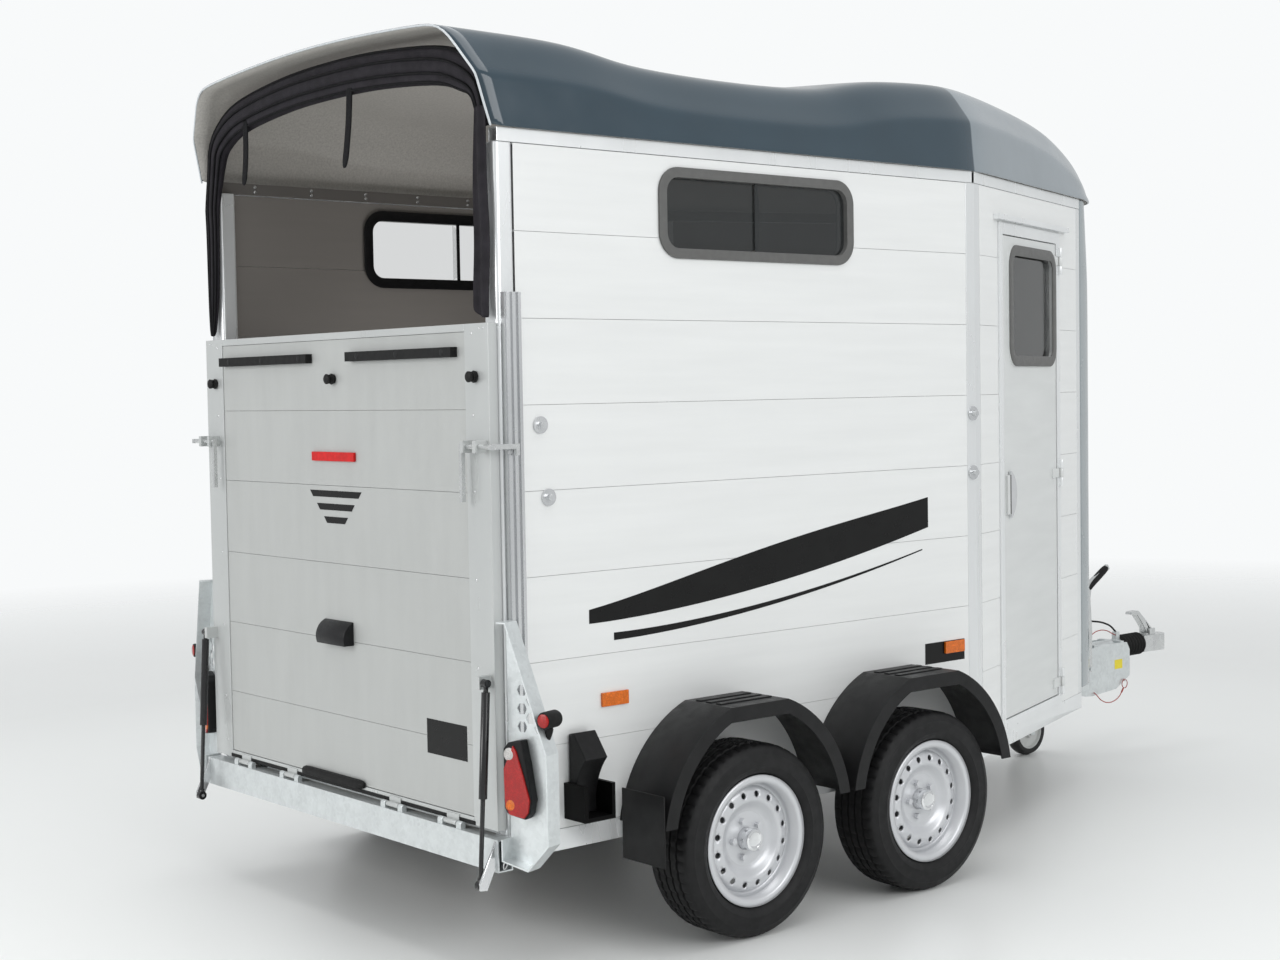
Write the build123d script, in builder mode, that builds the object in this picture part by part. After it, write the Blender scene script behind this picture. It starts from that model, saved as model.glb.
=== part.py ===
from build123d import *
import os
from math import asin, cos, hypot, radians, sin, sqrt, tan

os.makedirs("parts", exist_ok=True)

# ---------------------------------------------------------------------------
# Two-horse livestock trailer.  Millimetres, +X forwards to the coupling,
# +Y to the left, +Z up.  The origin is on the ground, under the middle of the
# whole trailer.  Stations along X are counted from the closed ramp's rear face.
# ---------------------------------------------------------------------------

# Body, driving dimensions
SIDE_LENGTH = 2030      # ramp face to the bend where the front walls turn in
BODY_HALF = 816         # half width over the side walls
FRONT_ANGLE = 19.87     # how far the front walls turn in, degrees
FRONT_WALL = 1173       # length of each angled front wall
FLOOR_TOP = 430
SKIRT_BOTTOM = 330
WALL_BOTTOM = 392
WALL_TOP = 2303
RAIL_TOP = 2343
NOSE_RADIUS = 418       # plan radius of the rounded nose
PLANK_COUNT = 8         # planks in the height of a wall
PLANK_THICK = 30
PLANK_SKIN = 2
SEAM = 1                # gap between neighbouring pieces of one panel
POST_WALL = 3
POST_BACK, POST_FRONT = 32, 92

# Running gear
TYRE_RADIUS = 288.5
TYRE_WIDTH = 185
SHOULDER_DROP = 26      # from the tread down to the tyre's shoulder
SIDEWALL_BULGE = 0.563  # where the sidewall is widest, from the rim's flange to the shoulder
WHEEL_Y = 918           # middle of the tyre
RIM_FLANGE = 195
RIM_SEAT = 176
AXLE_STATIONS = (804, 1575)
WHEEL_NAMES = ("rear", "front")
ARM_LENGTH = 160        # trailing arm of the rubber suspension
STUB_RADIUS = 20
RUNNING_FIT = 0.05      # radial clearance of a part that turns on another

# Ramp
RAMP_HALF = 812
RAMP_TOP = 1812
RAMP_BOTTOM = 417
RAMP_THICK = 30
RAMP_SEAMS = (1575, 1345, 1107, 873, 640)
EDGE_BAND = 112         # width of the ramp's edge profiles
HINGE_BACK = 9          # hinge axis behind the ramp face
HINGE_Z = 413
HINGE_PIN = 4
KNUCKLE = 8
HINGE_SPOTS = (-600, -300, 300, 600)

# Gas struts
STRUT_Y = 812
STRUT_TOP = (-30, 830)  # station and height of the upper eye
STRUT_FOOT = (-62, 278)
STRUT_TUBE = 290
STRUT_RADIUS = 12
STRUT_ROD = 6.5
STRUT_EYE = 14
PIN = 5
LATCH_X, LATCH_Z = -28, 1475

# Door in the right front wall, measured along the wall from the bend
DOOR_FROM, DOOR_TO = 280, 880
DOOR_BOTTOM, DOOR_TOP = 430, 2146
DOOR_GAP = 4
DOOR_THICK = 28
FRAME_WIDTH = 40
DOOR_AXIS = 905
DOOR_AXIS_OUT = 14

# Windows
WINDOW_FROM, WINDOW_TO = 614, 1431
WINDOW_BOTTOM, WINDOW_TOP = 2006, 2273
WINDOW_CORNER = 75
WINDOW_RING = 30
GLASS = 3
DOOR_WINDOW = (345, 850, 1697, 2105)

# Coupling and drawbar
HEAD_NOSE = 4284        # front of the coupling head
BALL_STATION = 4228
BALL_RADIUS = 25.3
COUPLING_Z = 455
TUBE_RADIUS = 25
TUBE_CLEAR = 0.4
HOUSING = (3600, 3960)
LEAD_CLIP = ((3938, 3962), (482, 522))

# Roof: crown line over the rear part, and rake of the rear edge
ROOF_HALF = 830
ROOF_SKIN = 6
RAKE = 0.25             # rearward lean of the roof's rear edge per unit height
ROOF_REAR = 10          # station of the rear edge at the rail top

# The whole trailer, rear end at the strut feet, front end at the coupling
REAR_END = STRUT_FOOT[0] - STRUT_EYE
BASE = -(REAR_END + HEAD_NOSE) / 2
COS, SIN = cos(radians(FRONT_ANGLE)), sin(radians(FRONT_ANGLE))
SIDES = ((-1, "right"), (1, "left"))


def keep(builder, label):
    """Label a finished sub-part and write it to its own file."""
    builder.part.label = label
    export_step(builder.part, f"parts/{label}.step")


def block(x, y, z, mode=Mode.ADD):
    """A box from three (low, high) pairs; x is given as stations."""
    middle = (BASE + (x[0] + x[1]) / 2, (y[0] + y[1]) / 2, (z[0] + z[1]) / 2)
    with Locations(middle):
        Box(x[1] - x[0], abs(y[1] - y[0]), z[1] - z[0], mode=mode)


def hollow(x, y, z, wall, axis, mode=Mode.ADD):
    """A box tube from three (low, high) pairs, open along one axis."""
    block(x, y, z, mode)
    spans = [(low + wall, high - wall) for low, high in (x, sorted(y), z)]
    spans[axis] = [(x, sorted(y), z)[axis][0] - wall, (x, sorted(y), z)[axis][1] + wall]
    block(*spans, mode=Mode.SUBTRACT)


def round_bar(start, end, radius, mode=Mode.ADD):
    """A round bar between two points given as (station, y, z)."""
    a, b = Vector(BASE + start[0], *start[1:]), Vector(BASE + end[0], *end[1:])
    with BuildSketch(Plane(a, z_dir=b - a)) as disc:
        Circle(radius)
    extrude(disc.sketch, amount=(b - a).length, mode=mode)


def plate(outline, side, y_out, thick, mode=Mode.ADD):
    """A flat piece with its outline in the XZ plane, from y_out inwards by thick, on one side."""
    with BuildSketch(Plane.XZ.offset(-side * y_out)) as face:
        with BuildLine():
            Polyline(*[(BASE + x, z) for x, z in outline], close=True)
        make_face()
    extrude(face.sketch, amount=side * thick, mode=mode)


def front_plane(out=0):
    """Plane on the right front wall: X runs along the wall from the bend, Y is up."""
    origin = (BASE + SIDE_LENGTH + out * SIN, -BODY_HALF - out * COS, 0)
    return Plane(origin, x_dir=(COS, SIN, 0), z_dir=(SIN, -COS, 0))


def wall_box(s, n, z, mode=Mode.ADD):
    """A box on the right front wall: s along it, n outwards from it, z up."""
    with BuildSketch(front_plane(n[0])) as face:
        with Locations(((s[0] + s[1]) / 2, (z[0] + z[1]) / 2)):
            Rectangle(s[1] - s[0], z[1] - z[0])
    extrude(face.sketch, amount=n[1] - n[0], mode=mode)


def rounded_opening(plane, x, z, corner, depth, mode):
    """A rounded rectangle extruded both ways from a plane."""
    with BuildSketch(plane) as face:
        with Locations(((x[0] + x[1]) / 2, (z[0] + z[1]) / 2)):
            RectangleRounded(x[1] - x[0], z[1] - z[0], corner)
    extrude(face.sketch, amount=depth, both=True, mode=mode)


def plan_point(s, inset=0, side=-1):
    """Plan position on the front wall line, s along it and inset behind its face."""
    x = BASE + SIDE_LENGTH + s * COS - inset * SIN
    return (x, side * (BODY_HALF - s * SIN - inset * COS))


# ---------------------------------------------------------------------------
# Chassis: two long rails, cross members and the two drawbar arms
# ---------------------------------------------------------------------------
RAIL_Y = (540, 600)
RAIL_Z = (306, 408)
RAIL_END = 2900
CROSS_STATIONS = (150, 700, 1250, 1830, 2600)
ARM_FROM = (1700, 500)
ARM_TO = (3600, 90)
ARM_Z = (316, 406)
arm_run = hypot(ARM_TO[0] - ARM_FROM[0], ARM_TO[1] - ARM_FROM[1])

with BuildPart() as chassis_frame:
    for side, _ in SIDES:
        hollow((40, RAIL_END - 650), (side * RAIL_Y[0], side * RAIL_Y[1]), RAIL_Z, 4, 0)
        start = Vector(BASE + ARM_FROM[0], side * ARM_FROM[1], sum(ARM_Z) / 2)
        end = Vector(BASE + ARM_TO[0], side * ARM_TO[1], sum(ARM_Z) / 2)
        with BuildSketch(Plane(start, x_dir=(0, 0, 1), z_dir=end - start)) as arm:
            Rectangle(ARM_Z[1] - ARM_Z[0], 46)
            Rectangle(ARM_Z[1] - ARM_Z[0] - 8, 38, mode=Mode.SUBTRACT)
        extrude(arm.sketch, amount=arm_run)
    for station in CROSS_STATIONS[:3]:
        hollow((station, station + 50), (1 - RAIL_Y[0], RAIL_Y[0] - 1), (340, 400), 3, 1)
keep(chassis_frame, "chassis_frame")

# Rear beam with its hinge lugs and pins
BEAM = ((-20, 30), (310, 400))
BEAM_HALF = 838
with BuildPart() as rear_beam:
    hollow(BEAM[0], (-BEAM_HALF, BEAM_HALF), BEAM[1], 4, 1)
    axis_x = -HINGE_BACK
    for y in HINGE_SPOTS:
        for shift in (-46, 46):
            block((axis_x - 8, axis_x + 8), (y + shift - 12, y + shift + 12), (396, HINGE_Z))
            round_bar((axis_x, y + shift - 12, HINGE_Z), (axis_x, y + shift + 12, HINGE_Z), KNUCKLE)
        round_bar((axis_x, y - 50, HINGE_Z), (axis_x, y + 50, HINGE_Z), HINGE_PIN)
keep(rear_beam, "rear_beam")

# Axles: square tubes, trailing arms and stub axles.  The arms carry the wheels behind the tubes.
AXLE_Z = 278
with BuildPart() as axle_tubes:
    for station in AXLE_STATIONS:
        tube = station + ARM_LENGTH
        hollow((tube - 30, tube + 30), (-732, 732), (AXLE_Z - 30, AXLE_Z + 28 - 1), 5, 1)
        for side, _ in SIDES:
            outline = [(tube + 32, 250), (tube + 32, 312), (station - 34, 322), (station - 34, 256)]
            plate(outline, side, 757, -24)
            round_bar((station, side * 740, TYRE_RADIUS), (station, side * 944, TYRE_RADIUS), STUB_RADIUS)
keep(axle_tubes, "axle_tubes")

# Floor: one deck cut to the inside of the walls
with BuildPart() as floor_deck:
    with BuildSketch(Plane.XY.offset(FLOOR_TOP - 20)) as deck:
        inset = PLANK_THICK + 2
        tip = plan_point(FRONT_WALL, inset)
        bend = (BASE + SIDE_LENGTH - inset * tan(radians(FRONT_ANGLE / 2)), BODY_HALF - inset)
        notch = BASE + POST_FRONT + SEAM
        right = [(BASE + 40, 68 - BODY_HALF), (notch, 68 - BODY_HALF), (notch, -bend[1]),
                 (bend[0], -bend[1]), tip]
        with BuildLine():
            Polyline(*right, *[(x, -y) for x, y in reversed(right)], close=True)
        make_face()
    extrude(amount=20)
keep(floor_deck, "floor_deck")

# ---------------------------------------------------------------------------
# Walls: hollow planks, posts and edge rails
# ---------------------------------------------------------------------------
PLANK = (WALL_TOP - WALL_BOTTOM) / PLANK_COUNT
WALL_FRONT = 1984
FRONT_POST = 1150

with BuildPart() as side_walls:
    for side, _ in SIDES:
        faces = (side * (BODY_HALF - PLANK_THICK), side * BODY_HALF)
        for row in range(PLANK_COUNT):
            low = WALL_BOTTOM + row * PLANK
            hollow((POST_FRONT + SEAM, WALL_FRONT), faces, (low, low + PLANK - SEAM), PLANK_SKIN, 0)
        opening = Plane.XZ.offset(-side * (BODY_HALF - PLANK_THICK / 2))
        span = (BASE + WINDOW_FROM + 12, BASE + WINDOW_TO - 12)
        rounded_opening(opening, span, (WINDOW_BOTTOM + 12, WINDOW_TOP - 12),
                        WINDOW_CORNER - 12, PLANK_THICK, Mode.SUBTRACT)
keep(side_walls, "side_walls")

with BuildPart() as front_walls:
    for row in range(PLANK_COUNT):
        low = WALL_BOTTOM + row * PLANK
        wall_box((50, FRONT_POST - SEAM), (-PLANK_THICK, 0), (low, low + PLANK - SEAM))
        wall_box((40, FRONT_POST + 10), (PLANK_SKIN - PLANK_THICK, -PLANK_SKIN),
                 (low + PLANK_SKIN, low + PLANK - SEAM - PLANK_SKIN), Mode.SUBTRACT)
    mirror(about=Plane.XZ)
    frame_side = DOOR_GAP + FRAME_WIDTH + SEAM
    wall_box((DOOR_FROM - frame_side, DOOR_TO + frame_side), (-2 * PLANK_THICK, PLANK_THICK),
             (SKIRT_BOTTOM, DOOR_TOP + frame_side), Mode.SUBTRACT)
keep(front_walls, "front_walls")

with BuildPart() as corner_posts:
    for side, _ in SIDES:
        with BuildSketch(Plane.XY.offset(WALL_BOTTOM)) as post:
            with Locations((BASE + (POST_BACK + POST_FRONT) / 2, side * (BODY_HALF - 33))):
                RectangleRounded(POST_FRONT - POST_BACK, 66, 12)
                RectangleRounded(POST_FRONT - POST_BACK - 2 * POST_WALL, 66 - 2 * POST_WALL, 9,
                                 mode=Mode.SUBTRACT)
        extrude(post.sketch, amount=WALL_TOP - WALL_BOTTOM)
        with BuildSketch(Plane.XY.offset(WALL_BOTTOM)) as bend_post:
            with BuildLine():
                inner_y = side * (BODY_HALF - PLANK_THICK)
                corner = BASE + SIDE_LENGTH - PLANK_THICK * tan(radians(FRONT_ANGLE / 2))
                Polyline((BASE + WALL_FRONT + SEAM, side * BODY_HALF),
                         (BASE + SIDE_LENGTH, side * BODY_HALF),
                         plan_point(50 - SEAM, 0, side), plan_point(50 - SEAM, PLANK_THICK, side),
                         (corner, inner_y), (BASE + WALL_FRONT + SEAM, inner_y), close=True)
            make_face()
            offset(amount=-POST_WALL, kind=Kind.INTERSECTION, mode=Mode.SUBTRACT)
        extrude(bend_post.sketch, amount=WALL_TOP - WALL_BOTTOM)
        with BuildSketch(Plane.XY.offset(WALL_BOTTOM)) as nose_post:
            with BuildLine():
                Polyline(plan_point(FRONT_POST, 0, side), plan_point(FRONT_WALL + 22, 0, side),
                         plan_point(FRONT_WALL + 22, PLANK_THICK, side),
                         plan_point(FRONT_POST, PLANK_THICK, side), close=True)
            make_face()
            offset(amount=-POST_WALL, kind=Kind.INTERSECTION, mode=Mode.SUBTRACT)
        extrude(nose_post.sketch, amount=WALL_TOP - WALL_BOTTOM)
keep(corner_posts, "corner_posts")

with BuildPart() as edge_rails:
    for low, high in ((SKIRT_BOTTOM, WALL_BOTTOM - SEAM), (WALL_TOP + SEAM, RAIL_TOP)):
        for side, _ in SIDES:
            faces = (side * (BODY_HALF - 40), side * BODY_HALF)
            hollow((40, SIDE_LENGTH - 10), faces, (low, high), POST_WALL, 0)
        with BuildSketch(Plane(plan_point(4) + ((low + high) / 2,), x_dir=(-SIN, COS, 0),
                               z_dir=(COS, SIN, 0))) as rail:
            with Locations((PLANK_THICK / 2, 0)):
                Rectangle(PLANK_THICK, high - low)
                Rectangle(PLANK_THICK - 2 * POST_WALL, high - low - 2 * POST_WALL,
                          mode=Mode.SUBTRACT)
        extrude(rail.sketch, amount=FRONT_WALL + 18)
        extrude(rail.sketch.mirror(Plane.XZ), amount=FRONT_WALL + 18, dir=(COS, -SIN, 0))
keep(edge_rails, "edge_rails")

# ---------------------------------------------------------------------------
# Nose: an upright moulded shell, rounded in plan, leaning back towards its top
# ---------------------------------------------------------------------------
NOSE_SKIN = 6
NOSE_BOTTOM = 410
NOSE_FROM = FRONT_WALL + 24     # distance along the wall line
APEX = SIDE_LENGTH + BODY_HALF / tan(radians(FRONT_ANGLE))
nose_centre = (APEX * SIN - NOSE_RADIUS) / SIN
NOSE_TIP = nose_centre + NOSE_RADIUS
NOSE_LEAN_Z = 2000
NOSE_LEAN_BACK = 71.2       # how far the nose's top edge leans back from its waist
NOSE_TOP_TIP = NOSE_TIP - NOSE_LEAN_BACK


def nose_outline(skin):
    """Closed plan outline of the nose, drawn in by skin, reaching back into the body."""
    x, y = plan_point(NOSE_FROM, skin)
    radius = NOSE_RADIUS - skin
    touch = (BASE + nose_centre + radius * SIN, -radius * COS)
    Polyline((x, -y), (x, y), touch)
    ThreePointArc(touch, (BASE + nose_centre + radius, 0), (touch[0], -touch[1]))
    Line((touch[0], -touch[1]), (x, -y))


def nose_solid(skin, low, high, mode):
    """The nose's outer or inner volume, with the lean of its upper part."""
    with BuildSketch(Plane.XY.offset(low)) as plan:
        with BuildLine():
            nose_outline(skin)
        make_face()
    extrude(plan.sketch, amount=high - low, mode=mode)


lean = [(NOSE_TIP + 50, NOSE_LEAN_Z), (NOSE_TIP, NOSE_LEAN_Z), (NOSE_TOP_TIP, RAIL_TOP),
        (NOSE_TOP_TIP, RAIL_TOP + 50), (NOSE_TIP + 50, RAIL_TOP + 50)]
with BuildPart() as hollow_nose:
    nose_solid(NOSE_SKIN, NOSE_BOTTOM - 20, RAIL_TOP + 20, Mode.ADD)
    plate([(x - 1.4 * NOSE_SKIN, z) for x, z in lean], 1, BODY_HALF, -2 * BODY_HALF, Mode.SUBTRACT)

with BuildPart() as nose_shell:
    nose_solid(0, NOSE_BOTTOM, RAIL_TOP, Mode.ADD)
    plate(lean, 1, BODY_HALF, -2 * BODY_HALF, Mode.SUBTRACT)
    add(hollow_nose.part, mode=Mode.SUBTRACT)
    block((SIDE_LENGTH, SIDE_LENGTH + NOSE_FROM * COS + 4), (-BODY_HALF, BODY_HALF),
          (SKIRT_BOTTOM - 30, RAIL_TOP + 30), Mode.SUBTRACT)
keep(nose_shell, "nose_shell")

# ---------------------------------------------------------------------------
# Roof: one shell lofted through flat-sided cross sections
# ---------------------------------------------------------------------------
# Each row: station, half width at the rail, height of the side crease, of the
# shoulder and of the crown.  The waist in the middle is the moulded dip.
ROOF_ROWS = (
    (ROOF_REAR, ROOF_HALF, 2485, 2634, 2661),
    (380, ROOF_HALF, 2478, 2630, 2658),
    (650, ROOF_HALF, 2436, 2584, 2640),
    (1390, ROOF_HALF, 2436, 2580, 2640),
    (1680, ROOF_HALF, 2493, 2638, 2662),
    (SIDE_LENGTH, ROOF_HALF, 2512, 2656, 2672),
)
FRONT_ROWS = (
    (2400, 2510, 2645, 2668),
    (2700, 2496, 2622, 2655),
    (3000, 2452, 2566, 2612),
    (3200, 2404, 2478, 2530),
    (3330, 2366, 2408, 2440),
    (3398, 2352, 2368, 2376),
)


def roof_half(station):
    """Half width of the roof at the rail, following the walls and the nose in plan."""
    if station <= SIDE_LENGTH:
        return ROOF_HALF
    touch = nose_centre + NOSE_RADIUS * SIN
    if station <= touch:
        return ROOF_HALF - (station - SIDE_LENGTH) * tan(radians(FRONT_ANGLE))
    return sqrt(NOSE_RADIUS ** 2 - (station - nose_centre) ** 2) + ROOF_HALF - BODY_HALF


roof_rows = ROOF_ROWS + tuple((x, roof_half(x), *heights) for x, *heights in FRONT_ROWS)


def roof_section(row, skin, rake):
    """One closed roof section; its plane leans back by rake."""
    station, half, crease, shoulder, crown = row
    lean = sqrt(1 + rake ** 2)
    plane = Plane((BASE + station, 0, RAIL_TOP), x_dir=(0, 1, 0), z_dir=(1, 0, rake))
    lip = 4 * skin if skin else 0
    right = [(half - lip, 0 if not skin else -1), (half - 18 - skin, crease - RAIL_TOP),
             (half - 0.09 * half - skin, (crease + 0.62 * (shoulder - crease)) - RAIL_TOP),
             (half - 0.19 * half - skin, shoulder - RAIL_TOP - skin),
             (0.4 * half, shoulder + 0.6 * (crown - shoulder) - RAIL_TOP - skin),
             (0, crown - RAIL_TOP - skin)]
    points = [(y, z * lean) for y, z in right]
    with BuildSketch(plane) as section:
        with BuildLine():
            Polyline(*points, *[(-y, z) for y, z in reversed(points[:-1])], close=True)
        make_face()
    return section.sketch.faces()[0]


with BuildPart() as roof_shell:
    outer = [roof_section(row, 0, RAKE if row is roof_rows[0] else 0) for row in roof_rows]
    loft(outer, ruled=True)
    inner_rows = [(roof_rows[0][0] - 20,) + roof_rows[0][1:]] + list(roof_rows[1:-1])
    last = roof_rows[-1]
    inner_rows.append((last[0] - ROOF_SKIN,) + last[1:])
    inner = [roof_section(row, ROOF_SKIN, RAKE if row is inner_rows[0] else 0) for row in inner_rows]
    loft(inner, ruled=True, mode=Mode.SUBTRACT)
keep(roof_shell, "roof_shell")

# ---------------------------------------------------------------------------
# Side windows: frame, fixed front pane and sliding rear pane on each side
# ---------------------------------------------------------------------------
window_middle = (WINDOW_FROM + WINDOW_TO) / 2
window_x = (BASE + WINDOW_FROM, BASE + WINDOW_TO)
window_z = (WINDOW_BOTTOM, WINDOW_TOP)


def inset_pair(pair, amount):
    return (pair[0] + amount, pair[1] - amount)


with BuildPart() as window_frames:
    for side, _ in SIDES:
        outer_face = Plane.XZ.offset(-side * (BODY_HALF + 4))
        rounded_opening(outer_face, window_x, window_z, WINDOW_CORNER, 3.5, Mode.ADD)
        inner_face = Plane.XZ.offset(-side * (BODY_HALF - PLANK_THICK - 4))
        rounded_opening(inner_face, window_x, window_z, WINDOW_CORNER, 3.5, Mode.ADD)
        middle = Plane.XZ.offset(-side * (BODY_HALF - PLANK_THICK / 2))
        rounded_opening(middle, inset_pair(window_x, 12.5), inset_pair(window_z, 12.5),
                        WINDOW_CORNER - 12.5, PLANK_THICK / 2 + 4, Mode.ADD)
        rounded_opening(middle, inset_pair(window_x, WINDOW_RING), inset_pair(window_z, WINDOW_RING),
                        WINDOW_CORNER - WINDOW_RING, PLANK_THICK, Mode.SUBTRACT)
keep(window_frames, "window_frames")

PANE_EDGE = WINDOW_RING + 1
PANE_OVERLAP = 12
with BuildPart() as window_panes:
    for side, _ in SIDES:
        outer_y = side * (BODY_HALF - 8)
        with BuildSketch(Plane.XZ.offset(-outer_y)) as pane:
            with Locations((sum(window_x) / 2, sum(window_z) / 2)):
                RectangleRounded(window_x[1] - window_x[0] - 2 * PANE_EDGE,
                                 WINDOW_TOP - WINDOW_BOTTOM - 2 * PANE_EDGE, WINDOW_CORNER - PANE_EDGE)
            with Locations((BASE + WINDOW_FROM, sum(window_z) / 2)):
                Rectangle(WINDOW_TO - WINDOW_FROM - 2 * PANE_OVERLAP, 400, mode=Mode.SUBTRACT)
        extrude(pane.sketch, amount=side * GLASS)
keep(window_panes, "window_panes")

SLIDER_CORNER = 20
for side, word in SIDES:
    with BuildPart() as window_slider:
        outer_y = side * (BODY_HALF - 8 - GLASS - 3)
        with BuildSketch(Plane.XZ.offset(-outer_y)) as pane:
            low, high = WINDOW_FROM + PANE_EDGE, window_middle + PANE_OVERLAP
            with Locations((BASE + (low + high) / 2, sum(window_z) / 2)):
                RectangleRounded(high - low, WINDOW_TOP - WINDOW_BOTTOM - 2 * PANE_EDGE, WINDOW_CORNER - PANE_EDGE)
        extrude(pane.sketch, amount=side * GLASS)
    keep(window_slider, f"window_slider_{word}")

# ---------------------------------------------------------------------------
# Door frame with its drip rail, door leaf, glass and handle
# ---------------------------------------------------------------------------
with BuildPart() as door_frame:
    side_gap = DOOR_GAP + FRAME_WIDTH
    wall_box((DOOR_FROM - side_gap, DOOR_TO + side_gap), (-PLANK_THICK, 5),
             (WALL_BOTTOM, DOOR_TOP + side_gap))
    wall_box((DOOR_FROM - DOOR_GAP, DOOR_TO + DOOR_GAP), (-2 * PLANK_THICK, PLANK_THICK),
             (DOOR_BOTTOM - DOOR_GAP, DOOR_TOP + DOOR_GAP), Mode.SUBTRACT)
    wall_box((191, 989), (0.5, 24), (2196, 2214))
    for z in (478, 1280, 2084):
        for shift in (-34, 34):
            wall_box((DOOR_AXIS - 9, DOOR_AXIS + 16), (5, 14), (z + shift - 16, z + shift + 16))
            with BuildSketch(Plane(plan_point(DOOR_AXIS, -DOOR_AXIS_OUT) + (z + shift - 16,))) as knuckle:
                Circle(8)
            extrude(knuckle.sketch, amount=32)
        with BuildSketch(Plane(plan_point(DOOR_AXIS, -DOOR_AXIS_OUT) + (z - 48,))) as door_pin:
            Circle(HINGE_PIN)
        extrude(door_pin.sketch, amount=96)
keep(door_frame, "door_frame")

glass_s, glass_z = DOOR_WINDOW[:2], DOOR_WINDOW[2:]
with BuildPart() as door_leaf:
    wall_box((DOOR_FROM, DOOR_TO), (2 - DOOR_THICK, 2), (DOOR_BOTTOM, DOOR_TOP))
    wall_box((DOOR_FROM + 3, DOOR_TO - 3), (5 - DOOR_THICK, -1), (DOOR_BOTTOM + 3, DOOR_TOP - 3),
             Mode.SUBTRACT)
    rounded_opening(front_plane(-DOOR_THICK / 2), glass_s, glass_z, 60, DOOR_THICK, Mode.SUBTRACT)
    with BuildSketch(front_plane(2 - DOOR_THICK - 3)) as liner:
        with Locations((sum(glass_s) / 2, sum(glass_z) / 2)):
            RectangleRounded(glass_s[1] - glass_s[0], glass_z[1] - glass_z[0], 60)
            RectangleRounded(glass_s[1] - glass_s[0] - 24, glass_z[1] - glass_z[0] - 24, 48,
                             mode=Mode.SUBTRACT)
    extrude(liner.sketch, amount=DOOR_THICK + 3)
    with BuildSketch(front_plane(2)) as ring:
        with Locations((sum(glass_s) / 2, sum(glass_z) / 2)):
            RectangleRounded(glass_s[1] - glass_s[0] + 24, glass_z[1] - glass_z[0] + 24, 72)
            RectangleRounded(glass_s[1] - glass_s[0] - 24, glass_z[1] - glass_z[0] - 24, 48,
                             mode=Mode.SUBTRACT)
    extrude(ring.sketch, amount=6)
    for z in (478, 1280, 2084):
        wall_box((DOOR_TO - 60, DOOR_TO - 1), (2, 9), (z - 17, z + 17))
        wall_box((DOOR_TO - 2, DOOR_AXIS), (5.5, 9), (z - 17, z + 17))
        with BuildSketch(Plane(plan_point(DOOR_AXIS, -DOOR_AXIS_OUT) + (z - 17,))) as knuckle:
            Circle(8)
        extrude(knuckle.sketch, amount=34)
        with BuildSketch(Plane(plan_point(DOOR_AXIS, -DOOR_AXIS_OUT) + (z - 60,))) as bore:
            Circle(HINGE_PIN + RUNNING_FIT)
        extrude(bore.sketch, amount=120, mode=Mode.SUBTRACT)
    wall_box((292, 318), (2, 12), (1158, 1298))
keep(door_leaf, "door_leaf")

with BuildPart() as door_window:
    with BuildSketch(front_plane(-10)) as pane:
        with Locations((sum(glass_s) / 2, sum(glass_z) / 2)):
            RectangleRounded(glass_s[1] - glass_s[0] - 26, glass_z[1] - glass_z[0] - 26, 46)
    extrude(pane.sketch, amount=GLASS)
keep(door_window, "door_window")

# The paddle handle pivots on its straight rear edge, beside its mounting block
HANDLE_AXIS = 326
HANDLE_OUT = 9
with BuildPart() as door_handle:
    with BuildSketch(front_plane(5)) as paddle:
        with BuildLine():
            Line((HANDLE_AXIS, 1143), (HANDLE_AXIS, 1313))
            ThreePointArc((HANDLE_AXIS, 1313), (HANDLE_AXIS + 62, 1228), (HANDLE_AXIS, 1143))
        make_face()
    extrude(paddle.sketch, amount=8)
keep(door_handle, "door_handle")

# ---------------------------------------------------------------------------
# Rear corner: side profiles, lamp guards, lamps, reflectors and small fittings
# ---------------------------------------------------------------------------
with BuildPart() as side_fittings:
    for side, _ in SIDES:
        block((40, 95), (side * BODY_HALF, side * (BODY_HALF + 20)), (SKIRT_BOTTOM + 70, 1895))
        for low in (42, 62, 82):
            block((low, low + 10), (side * (BODY_HALF + 18), side * (BODY_HALF + 26)),
                  (SKIRT_BOTTOM + 70, 1895))
        for station, z in ((168, 1530), (192, 1328), (2012, 1524), (2012, 1323)):
            round_bar((station, side * BODY_HALF, z), (station, side * (BODY_HALF + 6), z), 24)
            round_bar((station, side * (BODY_HALF + 6), z), (station, side * (BODY_HALF + 22), z), 9)
    # holder of the wheel chock: a shallow tray on the right skirt
    block((240, 325), (-BODY_HALF - 6, -BODY_HALF), (430, 520))
    block((228, 240), (-BODY_HALF - 96, -BODY_HALF), (424, 520))
    block((325, 337), (-BODY_HALF - 96, -BODY_HALF), (424, 520))
    block((228, 337), (-BODY_HALF - 96, -BODY_HALF), (418, 430))
    # latch pegs, and the arms that carry the strut feet behind the rear beam
    for side, _ in SIDES:
        round_bar((43, side * (BODY_HALF + 24), LATCH_Z - 16), (43, side * 846, LATCH_Z - 16), 6)
        outline = [(-20, 330), (-20, 396), (STRUT_FOOT[0] - 12, STRUT_FOOT[1] + 9),
                   (STRUT_FOOT[0] - 12, STRUT_FOOT[1] - 10), (STRUT_FOOT[0] + 10, STRUT_FOOT[1] - 12)]
        plate(outline, side, 830, 8)
        round_bar((STRUT_FOOT[0], side * 801, STRUT_FOOT[1]),
                  (STRUT_FOOT[0], side * 826, STRUT_FOOT[1]), PIN)
keep(side_fittings, "side_fittings")

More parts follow.
